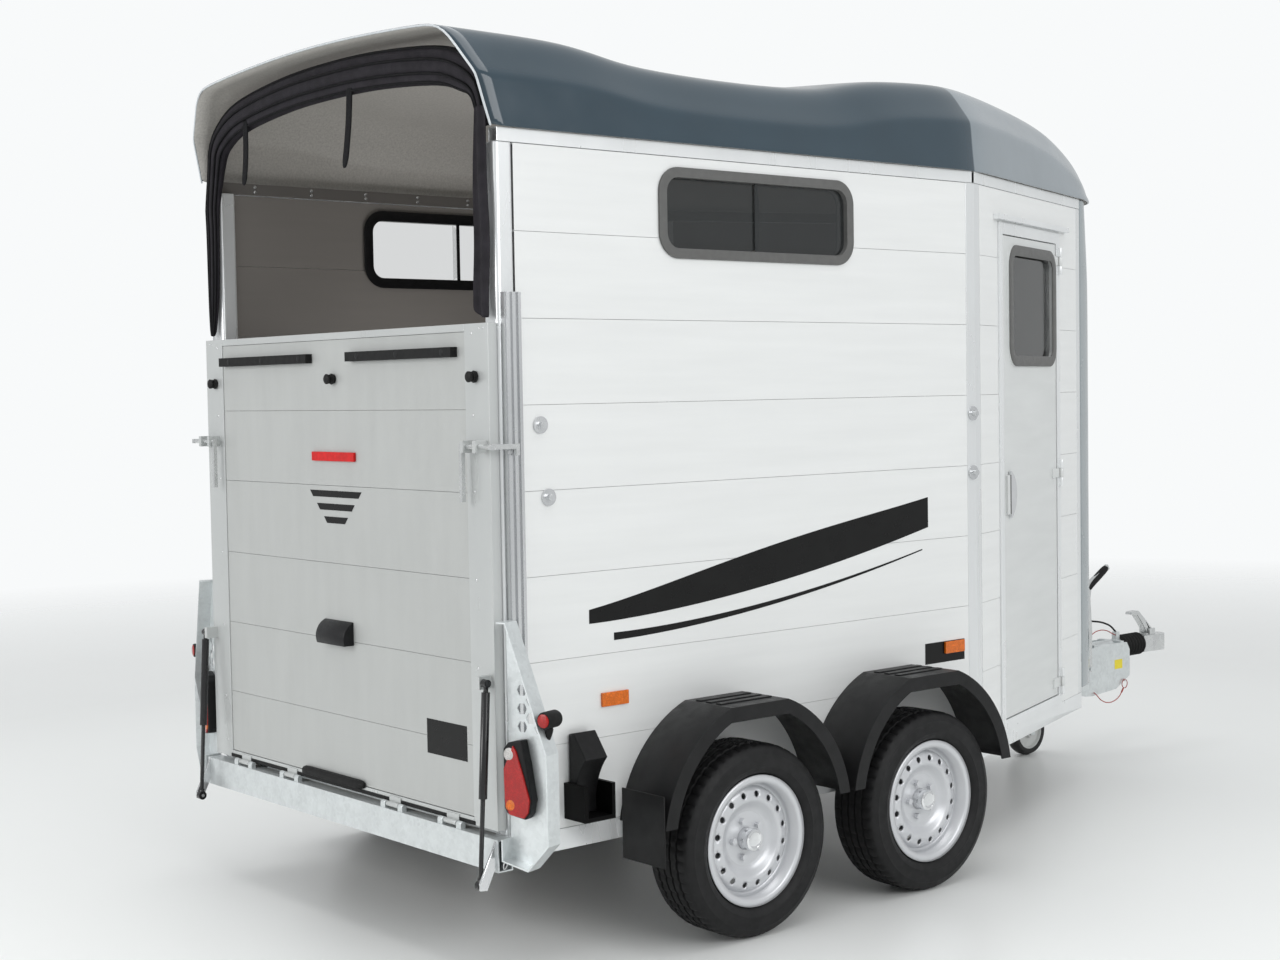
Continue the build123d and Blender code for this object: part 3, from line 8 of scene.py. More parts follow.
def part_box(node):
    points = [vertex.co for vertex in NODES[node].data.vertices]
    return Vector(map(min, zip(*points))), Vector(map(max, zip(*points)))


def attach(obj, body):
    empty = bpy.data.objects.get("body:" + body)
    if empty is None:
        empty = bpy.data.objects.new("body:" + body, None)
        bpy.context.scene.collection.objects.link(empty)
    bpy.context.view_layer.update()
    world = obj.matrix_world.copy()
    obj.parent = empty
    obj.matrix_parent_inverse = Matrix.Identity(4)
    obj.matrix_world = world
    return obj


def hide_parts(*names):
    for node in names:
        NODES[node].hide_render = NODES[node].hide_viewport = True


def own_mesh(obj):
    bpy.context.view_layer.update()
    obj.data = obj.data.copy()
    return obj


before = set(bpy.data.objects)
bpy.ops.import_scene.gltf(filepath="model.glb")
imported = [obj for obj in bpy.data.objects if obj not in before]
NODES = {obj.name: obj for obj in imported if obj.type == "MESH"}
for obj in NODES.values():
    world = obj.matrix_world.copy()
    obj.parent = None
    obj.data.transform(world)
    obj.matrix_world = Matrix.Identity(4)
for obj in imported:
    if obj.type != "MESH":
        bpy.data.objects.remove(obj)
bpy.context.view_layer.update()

# ---------------------------------------------------------------------------
# Places, from the CAD: stations run forwards from the closed ramp's rear face
# ---------------------------------------------------------------------------
X0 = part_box("corner_posts")[0].x - 0.032
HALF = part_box("side_walls")[1].y
INNER_FACE = HALF - 0.038
WALL_ANGLE = math.radians(19.87)
COS, SIN = math.cos(WALL_ANGLE), math.sin(WALL_ANGLE)
BEND = 2.030
SIDES = ((-1, "right"), (1, "left"))


def P(x, y, z):
    """A point from millimetres: station, y, z."""
    return Vector((X0 + x / 1000, y / 1000, z / 1000))


def wall(s, n, z, side=-1):
    """A point on a front wall: s along it, n out of it, z up, in millimetres."""
    x = X0 + BEND + (s * COS + n * SIN) / 1000
    y = HALF - (s * SIN - n * COS) / 1000
    return Vector((x, side * y, z / 1000))


LEAN = math.radians(16)


def guard(u, f, z, side):
    """A point on a leaning lamp guard: u out along it, f ahead of its back face, z up."""
    x = 20 + u * math.sin(LEAN) + f * math.cos(LEAN)
    y = 840 + u * math.cos(LEAN) - f * math.sin(LEAN)
    return P(x, side * y, z)


# ---------------------------------------------------------------------------
# Materials
# ---------------------------------------------------------------------------


class Shader:
    """A node tree with a Principled shader and object coordinates."""

    def __init__(self, name):
        self.mat = bpy.data.materials.new(name)
        self.mat.use_nodes = True
        self.tree = self.mat.node_tree
        self.bsdf = self.tree.nodes["Principled BSDF"]
        self.coords = self.node("ShaderNodeTexCoord").outputs["Object"]

    def node(self, kind, **values):
        made = self.tree.nodes.new(kind)
        for key, value in values.items():
            setattr(made, key, value)
        return made

    def link(self, source, target):
        self.tree.links.new(source, target)

    def stretched(self, scale):
        mapping = self.node("ShaderNodeMapping")
        mapping.inputs["Scale"].default_value = scale
        self.link(self.coords, mapping.inputs["Vector"])
        return mapping.outputs["Vector"]

    def noise(self, scale, detail=3, vector=None):
        made = self.node("ShaderNodeTexNoise")
        made.inputs["Scale"].default_value = scale
        made.inputs["Detail"].default_value = detail
        self.link(vector or self.coords, made.inputs["Vector"])
        return made.outputs["Fac"]

    def voronoi(self, scale, output="Color", vector=None):
        made = self.node("ShaderNodeTexVoronoi")
        made.inputs["Scale"].default_value = scale
        self.link(vector or self.coords, made.inputs["Vector"])
        return made.outputs[output]

    def wave(self, scale, direction, distortion=0.0):
        made = self.node("ShaderNodeTexWave", bands_direction=direction)
        made.inputs["Scale"].default_value = scale
        made.inputs["Distortion"].default_value = distortion
        self.link(self.coords, made.inputs["Vector"])
        return made.outputs["Fac"]

    def math(self, operation, first, second=None):
        made = self.node("ShaderNodeMath", operation=operation)
        for socket, value in zip(made.inputs, (first, second)):
            if value is None:
                continue
            if isinstance(value, (int, float)):
                socket.default_value = value
            else:
                self.link(value, socket)
        return made.outputs[0]

    def spread(self, value, low, high, start=0.3, end=0.7):
        made = self.node("ShaderNodeMapRange")
        self.link(value, made.inputs["Value"])
        for name, number in (("From Min", start), ("From Max", end), ("To Min", low), ("To Max", high)):
            made.inputs[name].default_value = number
        return made.outputs["Result"]

    def mix(self, factor, first, second):
        made = self.node("ShaderNodeMix", data_type="RGBA")
        self.link(factor, made.inputs[0])
        for socket, value in ((made.inputs[6], first), (made.inputs[7], second)):
            if isinstance(value, (tuple, list)):
                socket.default_value = (*value[:3], 1)
            else:
                self.link(value, socket)
        return made.outputs[2]

    def axes(self):
        made = self.node("ShaderNodeSeparateXYZ")
        self.link(self.coords, made.inputs[0])
        return made.outputs

    def bump(self, height, strength, distance=0.0006):
        made = self.node("ShaderNodeBump")
        made.inputs["Strength"].default_value = strength
        made.inputs["Distance"].default_value = distance
        self.link(height, made.inputs["Height"])
        return made.outputs["Normal"]


def shade(colour, amount):
    """A colour made lighter or darker."""
    return tuple(max(0.0, min(1.0, c * amount)) for c in colour)


def finish(name, colour, rough, metal=0.0, vary=0.08, grain=14.0, stretch=(1, 1, 1), bump=0.1,
           bump_scale=500.0, kind="noise", coat=0.0, zone=None, other=None, other_rough=None,
           rough_vary=0.06, spec=0.5):
    """A procedural finish: colour and roughness drift, and a fine relief of the named kind."""
    s = Shader(name)
    vector = s.stretched(stretch)
    drift = s.noise(grain, 4, vector)
    made = s.mix(s.spread(drift, 0, 1), shade(colour, 1 - vary), shade(colour, 1 + vary))
    if kind == "spangle":
        cells = s.node("ShaderNodeSeparateColor")
        s.link(s.voronoi(bump_scale), cells.inputs[0])
        made = s.mix(s.spread(cells.outputs[0], 0, 0.35, 0, 1), made, shade(colour, 1.25))
    roughness = s.spread(s.noise(grain * 1.7, 3, vector), rough - rough_vary, rough + rough_vary)
    if zone is not None:
        where = zone(s)
        tone = s.mix(s.spread(drift, 0, 1), shade(other, 1 - vary), shade(other, 1 + vary))
        made = s.mix(where, made, tone)
        if other_rough is not None:
            roughness = s.math("ADD", roughness, s.math("MULTIPLY", where, other_rough - rough))
    s.link(made, s.bsdf.inputs["Base Color"])
    s.link(roughness, s.bsdf.inputs["Roughness"])
    s.bsdf.inputs["Metallic"].default_value = metal
    s.bsdf.inputs["Specular IOR Level"].default_value = spec
    s.bsdf.inputs["Coat Weight"].default_value = coat
    s.bsdf.inputs["Coat Roughness"].default_value = 0.04
    if bump:
        if kind == "weave":
            height = s.math("MULTIPLY", s.wave(bump_scale, "Y"), s.wave(bump_scale, "Z"))
            height = s.math("ADD", height, s.math("MULTIPLY", s.noise(90, 2), 0.7))
        elif kind in ("grain", "spangle"):
            height = s.voronoi(bump_scale, "Distance")
        else:
            height = s.noise(bump_scale, 3, vector)
        s.link(s.bump(height, bump), s.bsdf.inputs["Normal"])
    return s.mat


def beyond(axis, value, soft=0.002):
    """A zone past a value along one axis, with a soft edge."""
    return lambda s: s.spread(s.axes()[axis], 0, 1, value - soft, value + soft)


def facing_in(s):
    """A zone on faces that look inwards, towards the middle of the body."""
    normal = s.node("ShaderNodeSeparateXYZ")
    s.link(s.node("ShaderNodeNewGeometry").outputs["True Normal"], normal.inputs[0])
    turned = s.math("MULTIPLY", s.axes()[1], normal.outputs[1])
    return s.math("LESS_THAN", turned, -0.05)


def around(centre, radius):
    """A zone further than radius from an axle that runs along Y."""
    def zone(s):
        x, _, z = s.axes()
        x2 = s.math("POWER", s.math("SUBTRACT", x, centre.x), 2)
        z2 = s.math("POWER", s.math("SUBTRACT", z, centre.z), 2)
        return s.math("GREATER_THAN", s.math("SQRT", s.math("ADD", x2, z2)), radius)
    return zone


def glass(name, tint, rough=0.03, alpha=0.45):
    """Tinted glass, darker on the right than on the left."""
    s = Shader(name)
    s.link(s.mix(s.spread(s.noise(6, 2), 0, 1), shade(tint, 0.85), shade(tint, 1.15)),
           s.bsdf.inputs["Base Color"])
    s.link(s.spread(s.noise(30, 2), rough * 0.6, rough * 1.6), s.bsdf.inputs["Roughness"])
    s.link(s.spread(s.axes()[1], alpha, 0.25 * alpha, -0.1, 0.1), s.bsdf.inputs["Alpha"])
    s.bsdf.inputs["Coat Weight"].default_value = 0.6
    return s.mat


def lens(name, colour, ribs=900.0):
    """Moulded lamp lens: fine ribs under a clear gloss."""
    s = Shader(name)
    drift = s.spread(s.noise(70, 3), 0, 1)
    cells = s.spread(s.voronoi(260, "Distance"), 0, 1, 0, 0.8)
    made = s.mix(drift, shade(colour, 0.8), shade(colour, 1.1))
    s.link(s.mix(cells, shade(colour, 0.55), made), s.bsdf.inputs["Base Color"])
    s.link(s.spread(s.noise(120), 0.12, 0.25), s.bsdf.inputs["Roughness"])
    s.bsdf.inputs["Coat Weight"].default_value = 0.3
    s.bsdf.inputs["Specular IOR Level"].default_value = 0.3
    s.link(s.bump(s.wave(ribs / 6.28, "Z"), 0.35), s.bsdf.inputs["Normal"])
    return s.mat


def within(low, high):
    """A zone inside a box, by object coordinates."""
    def zone(s):
        inside = None
        for axis in range(3):
            over = s.math("GREATER_THAN", s.axes()[axis], low[axis])
            under = s.math("LESS_THAN", s.axes()[axis], high[axis])
            both = s.math("MULTIPLY", over, under)
            inside = both if inside is None else s.math("MULTIPLY", inside, both)
        return inside
    return zone


chock_low, chock_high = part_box("wheel_chock")
tray_zone = within(chock_low - Vector((0.05, 0.06, 0.06)), chock_high + Vector((0.05, 0.06, 0.03)))
INNER = (0.215, 0.200, 0.185)
M = {
    "wall": finish("wall_aluminium", (0.77, 0.78, 0.775), 0.40, 0.15, 0.02, 2.0, (1, 1, 14), 0.04, 60,
                   zone=facing_in, other=INNER, other_rough=0.5),
    "frame": finish("frame_aluminium", (0.78, 0.795, 0.80), 0.30, 0.4, 0.03, 6.0, (1, 1, 0.2), 0.03, 300,
                    zone=facing_in, other=(0.17, 0.16, 0.15), other_rough=0.45),
    "post": finish("post_aluminium", (0.76, 0.775, 0.78), 0.28, 0.5, 0.03, 6.0, (1, 1, 0.2), 0.03, 300),
    "ramp": finish("ramp_aluminium", (0.455, 0.465, 0.455), 0.40, 0.2, 0.025, 3.0, (1, 5, 1), 0.05, 120),
    "ramp_edge": finish("ramp_edge_aluminium", (0.53, 0.545, 0.54), 0.32, 0.35, 0.03, 5.0, (1, 1, 0.3),
                        0.04, 300),
    "door": finish("door_aluminium", (0.66, 0.675, 0.67), 0.38, 0.2, 0.03, 3.0, (1, 1, 6), 0.05, 90,
                   zone=facing_in, other=INNER, other_rough=0.5),
    "galvanised": finish("galvanised_steel", (0.64, 0.67, 0.675), 0.36, 0.6, 0.07, 22.0, (1, 1, 1), 0.10, 95,
                         kind="spangle"),
    "zinc": finish("bright_zinc", (0.66, 0.67, 0.67), 0.24, 0.85, 0.05, 30.0, (1, 1, 1), 0.03, 350),
    "fittings": finish("side_fitting_metal", (0.66, 0.67, 0.68), 0.24, 0.85, 0.05, 20.0, (1, 1, 0.1), 0.03,
                       250,
                       zone=tray_zone, other=(0.006, 0.006, 0.006), other_rough=0.6),
    "chrome": finish("polished_chrome", (0.78, 0.79, 0.80), 0.10, 1.0, 0.04, 20.0, (1, 1, 1), 0.02, 400,
                     rough_vary=0.03),
    # roof gelcoat: dark blue-grey; the zone past the bend is painted lighter silver, a painted reflection of
    # the bright surroundings on the front facet
    "gelcoat": finish("roof_gelcoat", (0.020, 0.042, 0.060), 0.17, 0.0, 0.05, 5.0, (1, 1, 1), 0.02, 45,
                      coat=0.5, zone=beyond(0, X0 + BEND, 0.004), other=(0.20, 0.235, 0.26), spec=0.45),
    # nose: its light silver-grey tone is a painted reflection of the bright surroundings on the glossy
    # gelcoat
    "nose": finish("nose_gelcoat", (0.26, 0.295, 0.31), 0.22, 0.0, 0.04, 5.0, (1, 1, 1), 0.04, 45, coat=0.4),
    "laminate": finish("raw_laminate", (0.39, 0.375, 0.35), 0.62, 0.0, 0.14, 160.0, (1, 1, 1), 0.5, 240),
    # pale bead finish: a painted highlight along the roof's rear edge
    "bead": finish("painted_edge_highlight", (0.55, 0.58, 0.60), 0.25, 0.0, 0.04, 30.0, (1, 1, 1), 0.05, 200, coat=0.3),
    "plastic": finish("black_plastic", (0.007, 0.007, 0.0075), 0.42, 0.0, 0.25, 60.0, (1, 1, 1), 0.3, 900,
                      kind="grain", spec=0.22),
    "grey_plastic": finish("grey_plastic", (0.115, 0.115, 0.112), 0.45, 0.0, 0.08, 40.0, (1, 1, 1), 0.2, 900,
                           kind="grain", spec=0.3),
    "guard": finish("mudguard_plastic", (0.008, 0.008, 0.0085), 0.42, 0.0, 0.30, 18.0, (1, 1, 1), 0.35, 700,
                    kind="grain", rough_vary=0.08, spec=0.25),
    "rubber": finish("black_rubber", (0.008, 0.008, 0.008), 0.55, 0.0, 0.25, 50.0, (1, 1, 1), 0.2, 500,
                     spec=0.2),
    "tyre": finish("tyre_rubber", (0.010, 0.010, 0.0105), 0.55, 0.0, 0.30, 30.0, (1, 1, 1), 0.25, 420,
                   spec=0.25),
    "rim": finish("rim_silver", (0.60, 0.61, 0.63), 0.34, 0.4, 0.03, 7.0, (1, 1, 1), 0.02, 500, coat=0.2,
                  rough_vary=0.03),
    "glass": glass("tinted_glass", (0.014, 0.017, 0.018), alpha=0.62),
    "tarp": finish("tarp_fabric", (0.020, 0.018, 0.022), 0.78, 0.0, 0.25, 25.0, (1, 1, 1), 0.6, 260,
                   kind="weave", spec=0.2),
    "binding": finish("tarp_binding", (0.004, 0.004, 0.005), 0.6, 0.0, 0.3, 60.0, (1, 1, 1), 0.5, 420,
                      kind="weave", spec=0.15),
    "vinyl": finish("partition_vinyl", (0.03, 0.03, 0.032), 0.5, 0.0, 0.2, 25.0, (1, 1, 1), 0.4, 380,
                    kind="grain"),
    "plywood": finish("floor_plywood", (0.075, 0.045, 0.028), 0.5, 0.0, 0.2, 9.0, (1, 12, 1), 0.3, 220,
                      kind="grain"),
    "red_lens": lens("red_lens", (0.42, 0.006, 0.005)),
    "amber_lens": lens("amber_lens", (0.80, 0.17, 0.008)),
    "clear_lens": lens("clear_lens", (0.62, 0.60, 0.58)),
    "cable": finish("red_cable", (0.34, 0.03, 0.02), 0.35, 0.0, 0.15, 120.0, (1, 1, 1), 0.3, 1500,
                    kind="weave"),
    "decal": finish("decal_vinyl", (0.006, 0.006, 0.006), 0.30, 0.0, 0.15, 12.0, (1, 1, 1), 0.04, 90,
                    spec=0.2),
    "label": finish("yellow_label", (0.75, 0.62, 0.03), 0.4, 0.0, 0.06, 90.0, (1, 1, 1), 0.05, 200),
    "strut": finish("strut_black", (0.006, 0.006, 0.007), 0.25, 0.1, 0.2, 30.0, (1, 1, 0.2), 0.06, 300,
                    coat=0.2),
}
M["ramp_lamp"] = finish("ramp_lamp_plastics", (0.007, 0.007, 0.008), 0.38, 0.0, 0.15, 60.0, (1, 1, 1), 0.2,
                        700,
                        kind="grain", zone=beyond(2, 1.2), other=(0.55, 0.010, 0.010), spec=0.25)
jockey_low, jockey_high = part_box("jockey_wheel")
M["jockey"] = finish("jockey_wheel_rubber", (0.55, 0.56, 0.55), 0.4, 0.2, 0.06, 40.0, (1, 1, 1), 0.15, 400,
                     zone=around((jockey_low + jockey_high) / 2, 0.076), other=(0.012, 0.012, 0.012),
                     other_rough=0.6)

# ---------------------------------------------------------------------------
# Mesh helpers
# ---------------------------------------------------------------------------


def piece(name, points, faces, materials, body, smooth=30, bevel=0, subdivide=0, thickness=0):
    """A finished mesh piece that rides on a body."""
    mesh = bpy.data.meshes.new(name)
    mesh.from_pydata([tuple(p) for p in points], [], faces)
    tidy = bmesh.new()
    tidy.from_mesh(mesh)
    bmesh.ops.remove_doubles(tidy, verts=tidy.verts, dist=1e-5)
    bmesh.ops.recalc_face_normals(tidy, faces=tidy.faces)
    tidy.to_mesh(mesh)
    tidy.free()
    made = bpy.data.objects.new(name, mesh)
    bpy.context.scene.collection.objects.link(made)
    for m in materials if isinstance(materials, (list, tuple)) else (materials,):
        mesh.materials.append(M[m])
    if bevel:
        rounding = made.modifiers.new("bevel", "BEVEL")
        rounding.width = bevel
        rounding.segments = 3
        rounding.limit_method = "ANGLE"
        rounding.angle_limit = math.radians(35)
    if subdivide:
        smoother = made.modifiers.new("smooth", "SUBSURF")
        smoother.levels = subdivide
        smoother.render_levels = subdivide
    if thickness:
        wall_mod = made.modifiers.new("skin", "SOLIDIFY")
        wall_mod.thickness = abs(thickness)
        wall_mod.offset = -1 if thickness > 0 else 1
        if len(mesh.materials) > 1:
            wall_mod.material_offset = 1
    shade_by_angle(made, smooth)
    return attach(made, body) or made


def shade_by_angle(obj, degrees):
    """Smooth shading with sharp edges kept past an angle."""
    for poly in obj.data.polygons:
        poly.use_smooth = True
    obj.data.set_sharp_from_angle(angle=math.radians(degrees))


def loft(rows, closed=False, caps=False):
    """Points and faces of a skin through rows of equal length."""
    count = len(rows[0])
    points = [p for row in rows for p in row]
    faces = []
    for r in range(len(rows) - 1):
        for c in range(count if closed else count - 1):
            d = (c + 1) % count
            faces.append((r * count + c, r * count + d, (r + 1) * count + d, (r + 1) * count + c))
    if caps:
        faces.append(tuple(range(count))[::-1])
        faces.append(tuple((len(rows) - 1) * count + c for c in range(count)))
    return points, faces


def prism(outline, depth):
    """Points and faces of a flat outline pushed along depth."""
    count = len(outline)
    points = list(outline) + [p + depth for p in outline]
    faces = [tuple(range(count)), tuple(range(2 * count - 1, count - 1, -1))]
    faces += [(i, (i + 1) % count, count + (i + 1) % count, count + i) for i in range(count)]
    return points, faces


def lathe(profile, centre, axis, around_from, steps=48):
    """Points and faces of a (radius, along) profile turned about an axis through centre."""
    axis = axis.normalized()
    u = around_from.normalized()
    v = axis.cross(u)
    rows = []
    for along_index in range(len(profile)):
        radius, along = profile[along_index]
        rows.append([centre + axis * along + (u * math.cos(a) + v * math.sin(a)) * max(radius, 1e-5)
                     for a in (2 * math.pi * k / steps for k in range(steps))])
    return loft(rows, closed=True)


def combined(parts):
    """Several (points, faces) sets as one."""
    points, faces = [], []
    for more_points, more_faces in parts:
        start = len(points)
        points += list(more_points)
        faces += [tuple(start + i for i in f) for f in more_faces]
    return points, faces


def brick(low, high):
    """A box between two corners, to be rounded by a bevel."""
    base = [Vector((low.x, low.y, low.z)), Vector((high.x, low.y, low.z)),
            Vector((high.x, high.y, low.z)), Vector((low.x, high.y, low.z))]
    return prism(base, Vector((0, 0, high.z - low.z)))


def dome(centre, axis, radius, height, steps=20):
    """A shallow domed button, such as a rivet or screw head."""
    side = axis.orthogonal()
    rim = [(radius, 0), (radius * 0.98, height * 0.45), (radius * 0.72, height * 0.85),
           (radius * 0.35, height * 0.98), (0, height)]
    return lathe(rim, centre, axis, side, steps)


# ---------------------------------------------------------------------------
# CAD nodes that stay: softened edges and their finishes
# ---------------------------------------------------------------------------
KEPT = {
    "galvanised": ("chassis_frame", "rear_beam", "axle_tubes", "lamp_guards", "jockey_clamp", "jockey_fork",
                   "stall_fittings", "overrun_housing"),
    "fittings": ("side_fittings",),
    "zinc": ("latch_lever_right", "latch_lever_left", "coupling_head", "coupling_handle",
             "handbrake_lever", "jockey_stem", "jockey_crank"),
    "wall": ("side_walls", "front_walls"),
    "frame": ("edge_rails", "door_frame"), "post": ("corner_posts",),
    "ramp": ("ramp_panel",), "ramp_edge": ("ramp_frame",), "door": ("door_leaf",), "plywood": ("floor_deck",),
    "grey_plastic": ("window_frames",), "chrome": ("door_handle",), "plastic": ("wheel_chock",),
    "glass": ("window_panes", "window_slider_right", "window_slider_left", "door_window"),
    "guard": ("mudguards",), "rubber": ("ramp_rubbers", "electric_lead"), "ramp_lamp": ("ramp_lights",),
    "amber_lens": ("side_reflectors",), "jockey": ("jockey_wheel",), "cable": ("breakaway_cable",),
    "vinyl": ("partition_panel", "rump_bars", "breast_bars"),
    "strut": ("strut_rod_right", "strut_rod_left", "strut_tube_right", "strut_tube_left"),
    "rim": tuple(f"rim_{row}_{side}" for row in ("rear", "front") for side in ("right", "left")),
}
SOFT_EDGE = {
    "corner_posts": 2.0, "edge_rails": 1.5, "rear_beam": 3.0, "chassis_frame": 3.0, "door_leaf": 1.0,
    "door_frame": 1.2, "ramp_frame": 1.2, "ramp_panel": 0.6, "side_walls": 0.5, "front_walls": 0.5,
    "coupling_head": 4.0, "coupling_handle": 3.0, "handbrake_lever": 2.0, "overrun_housing": 1.5,
    "latch_lever_right": 2.0, "latch_lever_left": 2.0, "ramp_rubbers": 2.5, "wheel_chock": 3.0,
    "mudguards": 1.5, "side_reflectors": 1.5, "ramp_lights": 2.5, "jockey_fork": 1.2, "door_handle": 2.0,
    "lamp_guards": 0.8, "side_fittings": 1.0, "window_frames": 1.2, "jockey_crank": 1.5,
}
for finish_name, names in KEPT.items():
    for node_name in names:
        node = NODES[node_name]
        node.data.materials.clear()
        node.data.materials.append(M[finish_name])
        weld = node.modifiers.new("weld", "WELD")
        weld.merge_threshold = 0.00002
        if node_name in SOFT_EDGE:
            edge = node.modifiers.new("bevel", "BEVEL")
            edge.width = SOFT_EDGE[node_name] / 1000
            edge.segments = 2
            edge.limit_method = "ANGLE"
            edge.angle_limit = math.radians(40)
            edge.harden_normals = False

# ---------------------------------------------------------------------------
# Roof and nose
# ---------------------------------------------------------------------------
ROOF_ROWS = (
    (10, 2485, 2634, 2661), (200, 2483, 2633, 2660), (380, 2478, 2630, 2658), (520, 2455, 2606, 2648),
    (650, 2436, 2584, 2640), (1000, 2430, 2574, 2634), (1390, 2436, 2580, 2640), (1540, 2468, 2612, 2652),
    (1680, 2493, 2638, 2662), (1860, 2506, 2650, 2669), (2030, 2512, 2656, 2671), (2200, 2513, 2654, 2671),
    (2400, 2510, 2645, 2668), (2700, 2496, 2622, 2655), (2880, 2478, 2598, 2636), (3000, 2456, 2570, 2614),
    (3120, 2430, 2532, 2576), (3220, 2404, 2486, 2530), (3310, 2378, 2432, 2470), (3370, 2358, 2388, 2410),
    (3398, 2352, 2362, 2368),
)
NOSE_RADIUS = 418
nose_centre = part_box("nose_shell")[1].x * 1000 - X0 * 1000 - NOSE_RADIUS
RAIL = 2343


def roof_half(station):
    """Half width of the roof at the rail."""
    if station <= 2030:
        return 830
    touch = nose_centre + NOSE_RADIUS * SIN
    if station <= touch:
        return 830 - (station - 2030) * math.tan(WALL_ANGLE)
    return math.sqrt(max(0, NOSE_RADIUS ** 2 - (station - nose_centre) ** 2)) + 14


def roof_row(station, crease, shoulder, crown, rake):
    """Half of one roof section, from the rail up to the crown."""
    half = roof_half(station)
    profile = [(half, RAIL), (half - 1, RAIL + 10), (half - 0.55 * 18, (RAIL + crease) / 2),
               (half - 15, crease - 9), (half - 21, crease + 7),
               (half - 0.055 * half - 10, crease + 0.33 * (shoulder - crease)),
               (half - 0.115 * half - 4, crease + 0.74 * (shoulder - crease)),
               (half - 0.165 * half, shoulder - 12), (half - 0.215 * half, shoulder + 1),
               (0.60 * half, shoulder + 0.42 * (crown - shoulder)),
               (0.36 * half, shoulder + 0.78 * (crown - shoulder)),
               (0.16 * half, shoulder + 0.96 * (crown - shoulder)), (0, crown)]
    return [(station - rake * (z - RAIL), y, z) for y, z in profile]


rows = []
for number, (station, crease, shoulder, crown) in enumerate(ROOF_ROWS):
    rake = 0.25 if number == 0 else (0.12 if number == 1 else 0)
    half_row = roof_row(station, crease, shoulder, crown, rake)
    full = [P(x, -y, z) for x, y, z in half_row] + [P(x, y, z) for x, y, z in reversed(half_row[:-1])]
    rows.append(full)
# the roof skin's front past the bend carries the painted reflection of the gelcoat finish
roof = piece("roof_moulding", *loft(rows), ("gelcoat", "laminate"), "trailer", smooth=60, subdivide=2,
             thickness=0.006)
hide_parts("roof_shell")


def tube(line, radius, steps=10, taper=None):
    """A round tube along a list of points."""
    rows_of = []
    for i, p in enumerate(line):
        ahead = (line[min(i + 1, len(line) - 1)] - line[max(i - 1, 0)]).normalized()
        u = ahead.cross(Vector((0.31, 0.2, 0.93))).normalized()
        v = ahead.cross(u)
        r = radius * (taper[i] if taper else 1)
        rows_of.append([p + (u * math.cos(a) + v * math.sin(a)) * r
                        for a in (2 * math.pi * k / steps for k in range(steps))])
    return loft(rows_of, closed=True, caps=True)


# a thin pale tube along the roof's rear edge, a painted highlight line
painted_edge_highlight = piece("roof_rear_highlight_bead", *tube([p + Vector((0.001, 0, -0.0035)) for p in rows[0]], 0.0035), "bead",
                  "trailer", smooth=80, subdivide=1)


def nose_row(z, skin=0):
    """Plan outline of the nose at a height, leaning back above its waist."""
    rise = max(0.0, (z - 1960) / (RAIL - 1960))
    lean = 70 * rise ** 1.6
    touch = nose_centre + NOSE_RADIUS * SIN
    low_x, low_y = 2030 + 1197 * COS, 816 - 1197 * SIN
    outline = [(low_x, low_y), ((low_x + touch) / 2, (low_y + NOSE_RADIUS * COS) / 2)]
    for k in range(25):
        a = math.pi / 2 - WALL_ANGLE - k * (math.pi - 2 * WALL_ANGLE) / 24
        x, y = nose_centre + NOSE_RADIUS * math.cos(a), NOSE_RADIUS * math.sin(a)
        share = max(0.0, (x - touch) / (nose_centre + NOSE_RADIUS - touch))
        outline.append((x - lean * share, y))
    outline += [(x, -y) for x, y in reversed(outline[:2])]
    return [P(x, y, z) for x, y in outline]


nose_heights = (410, 414, 500, 900, 1400, 1800, 1960, 2040, 2120, 2200, 2280, 2335, 2341)
# the nose skin takes the nose finish, whose light tone is a painted reflection
nose = piece("nose_moulding", *loft([nose_row(z) for z in nose_heights]), ("nose", "laminate"), "trailer",
             smooth=50, subdivide=1, thickness=0.006)
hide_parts("nose_shell")

# ---------------------------------------------------------------------------
# Rolled weather curtain: one bundle along the arch, a hanging curtain and two straps
# ---------------------------------------------------------------------------


def smooth_path(points, count):
    """Catmull-Rom points through a list of tuples."""
    out = []
    last = len(points) - 1
    for k in range(count):
        t = k / (count - 1) * last
        i = min(int(t), last - 1)
        f = t - i
        a, b = points[max(i - 1, 0)], points[i]
        c, d = points[i + 1], points[min(i + 2, last)]
        out.append(tuple(0.5 * (2 * q + (r - p) * f + (2 * p - 5 * q + 4 * r - s) * f * f
                                + (3 * q - p - 3 * r + s) * f ** 3) for p, q, r, s in zip(a, b, c, d)))
    return out


# y, z, half height across the band, half depth
ROLL = ((-776, 2350, 26, 16), (-752, 2448, 36, 22), (-690, 2500, 52, 29), (-560, 2541, 56, 31),
        (-280, 2569, 57, 32), (0, 2577, 57, 32), (280, 2569, 56, 32), (560, 2537, 54, 31),
        (690, 2492, 50, 29), (755, 2430, 44, 26), (766, 2330, 38, 20), (768, 2180, 35, 13),
        (771, 2030, 30, 12), (777, 1920, 22, 11), (784, 1850, 12, 9), (788, 1828, 4, 6))
roll_rows = []
spots = smooth_path(ROLL, 96)


def roll_middle(y, z):
    """Station of the middle of the roll; its left tail hangs behind the post."""
    return 35 - 18 * max(0.0, min(1.0, (2400 - z) / 150)) if y > 0 else 35


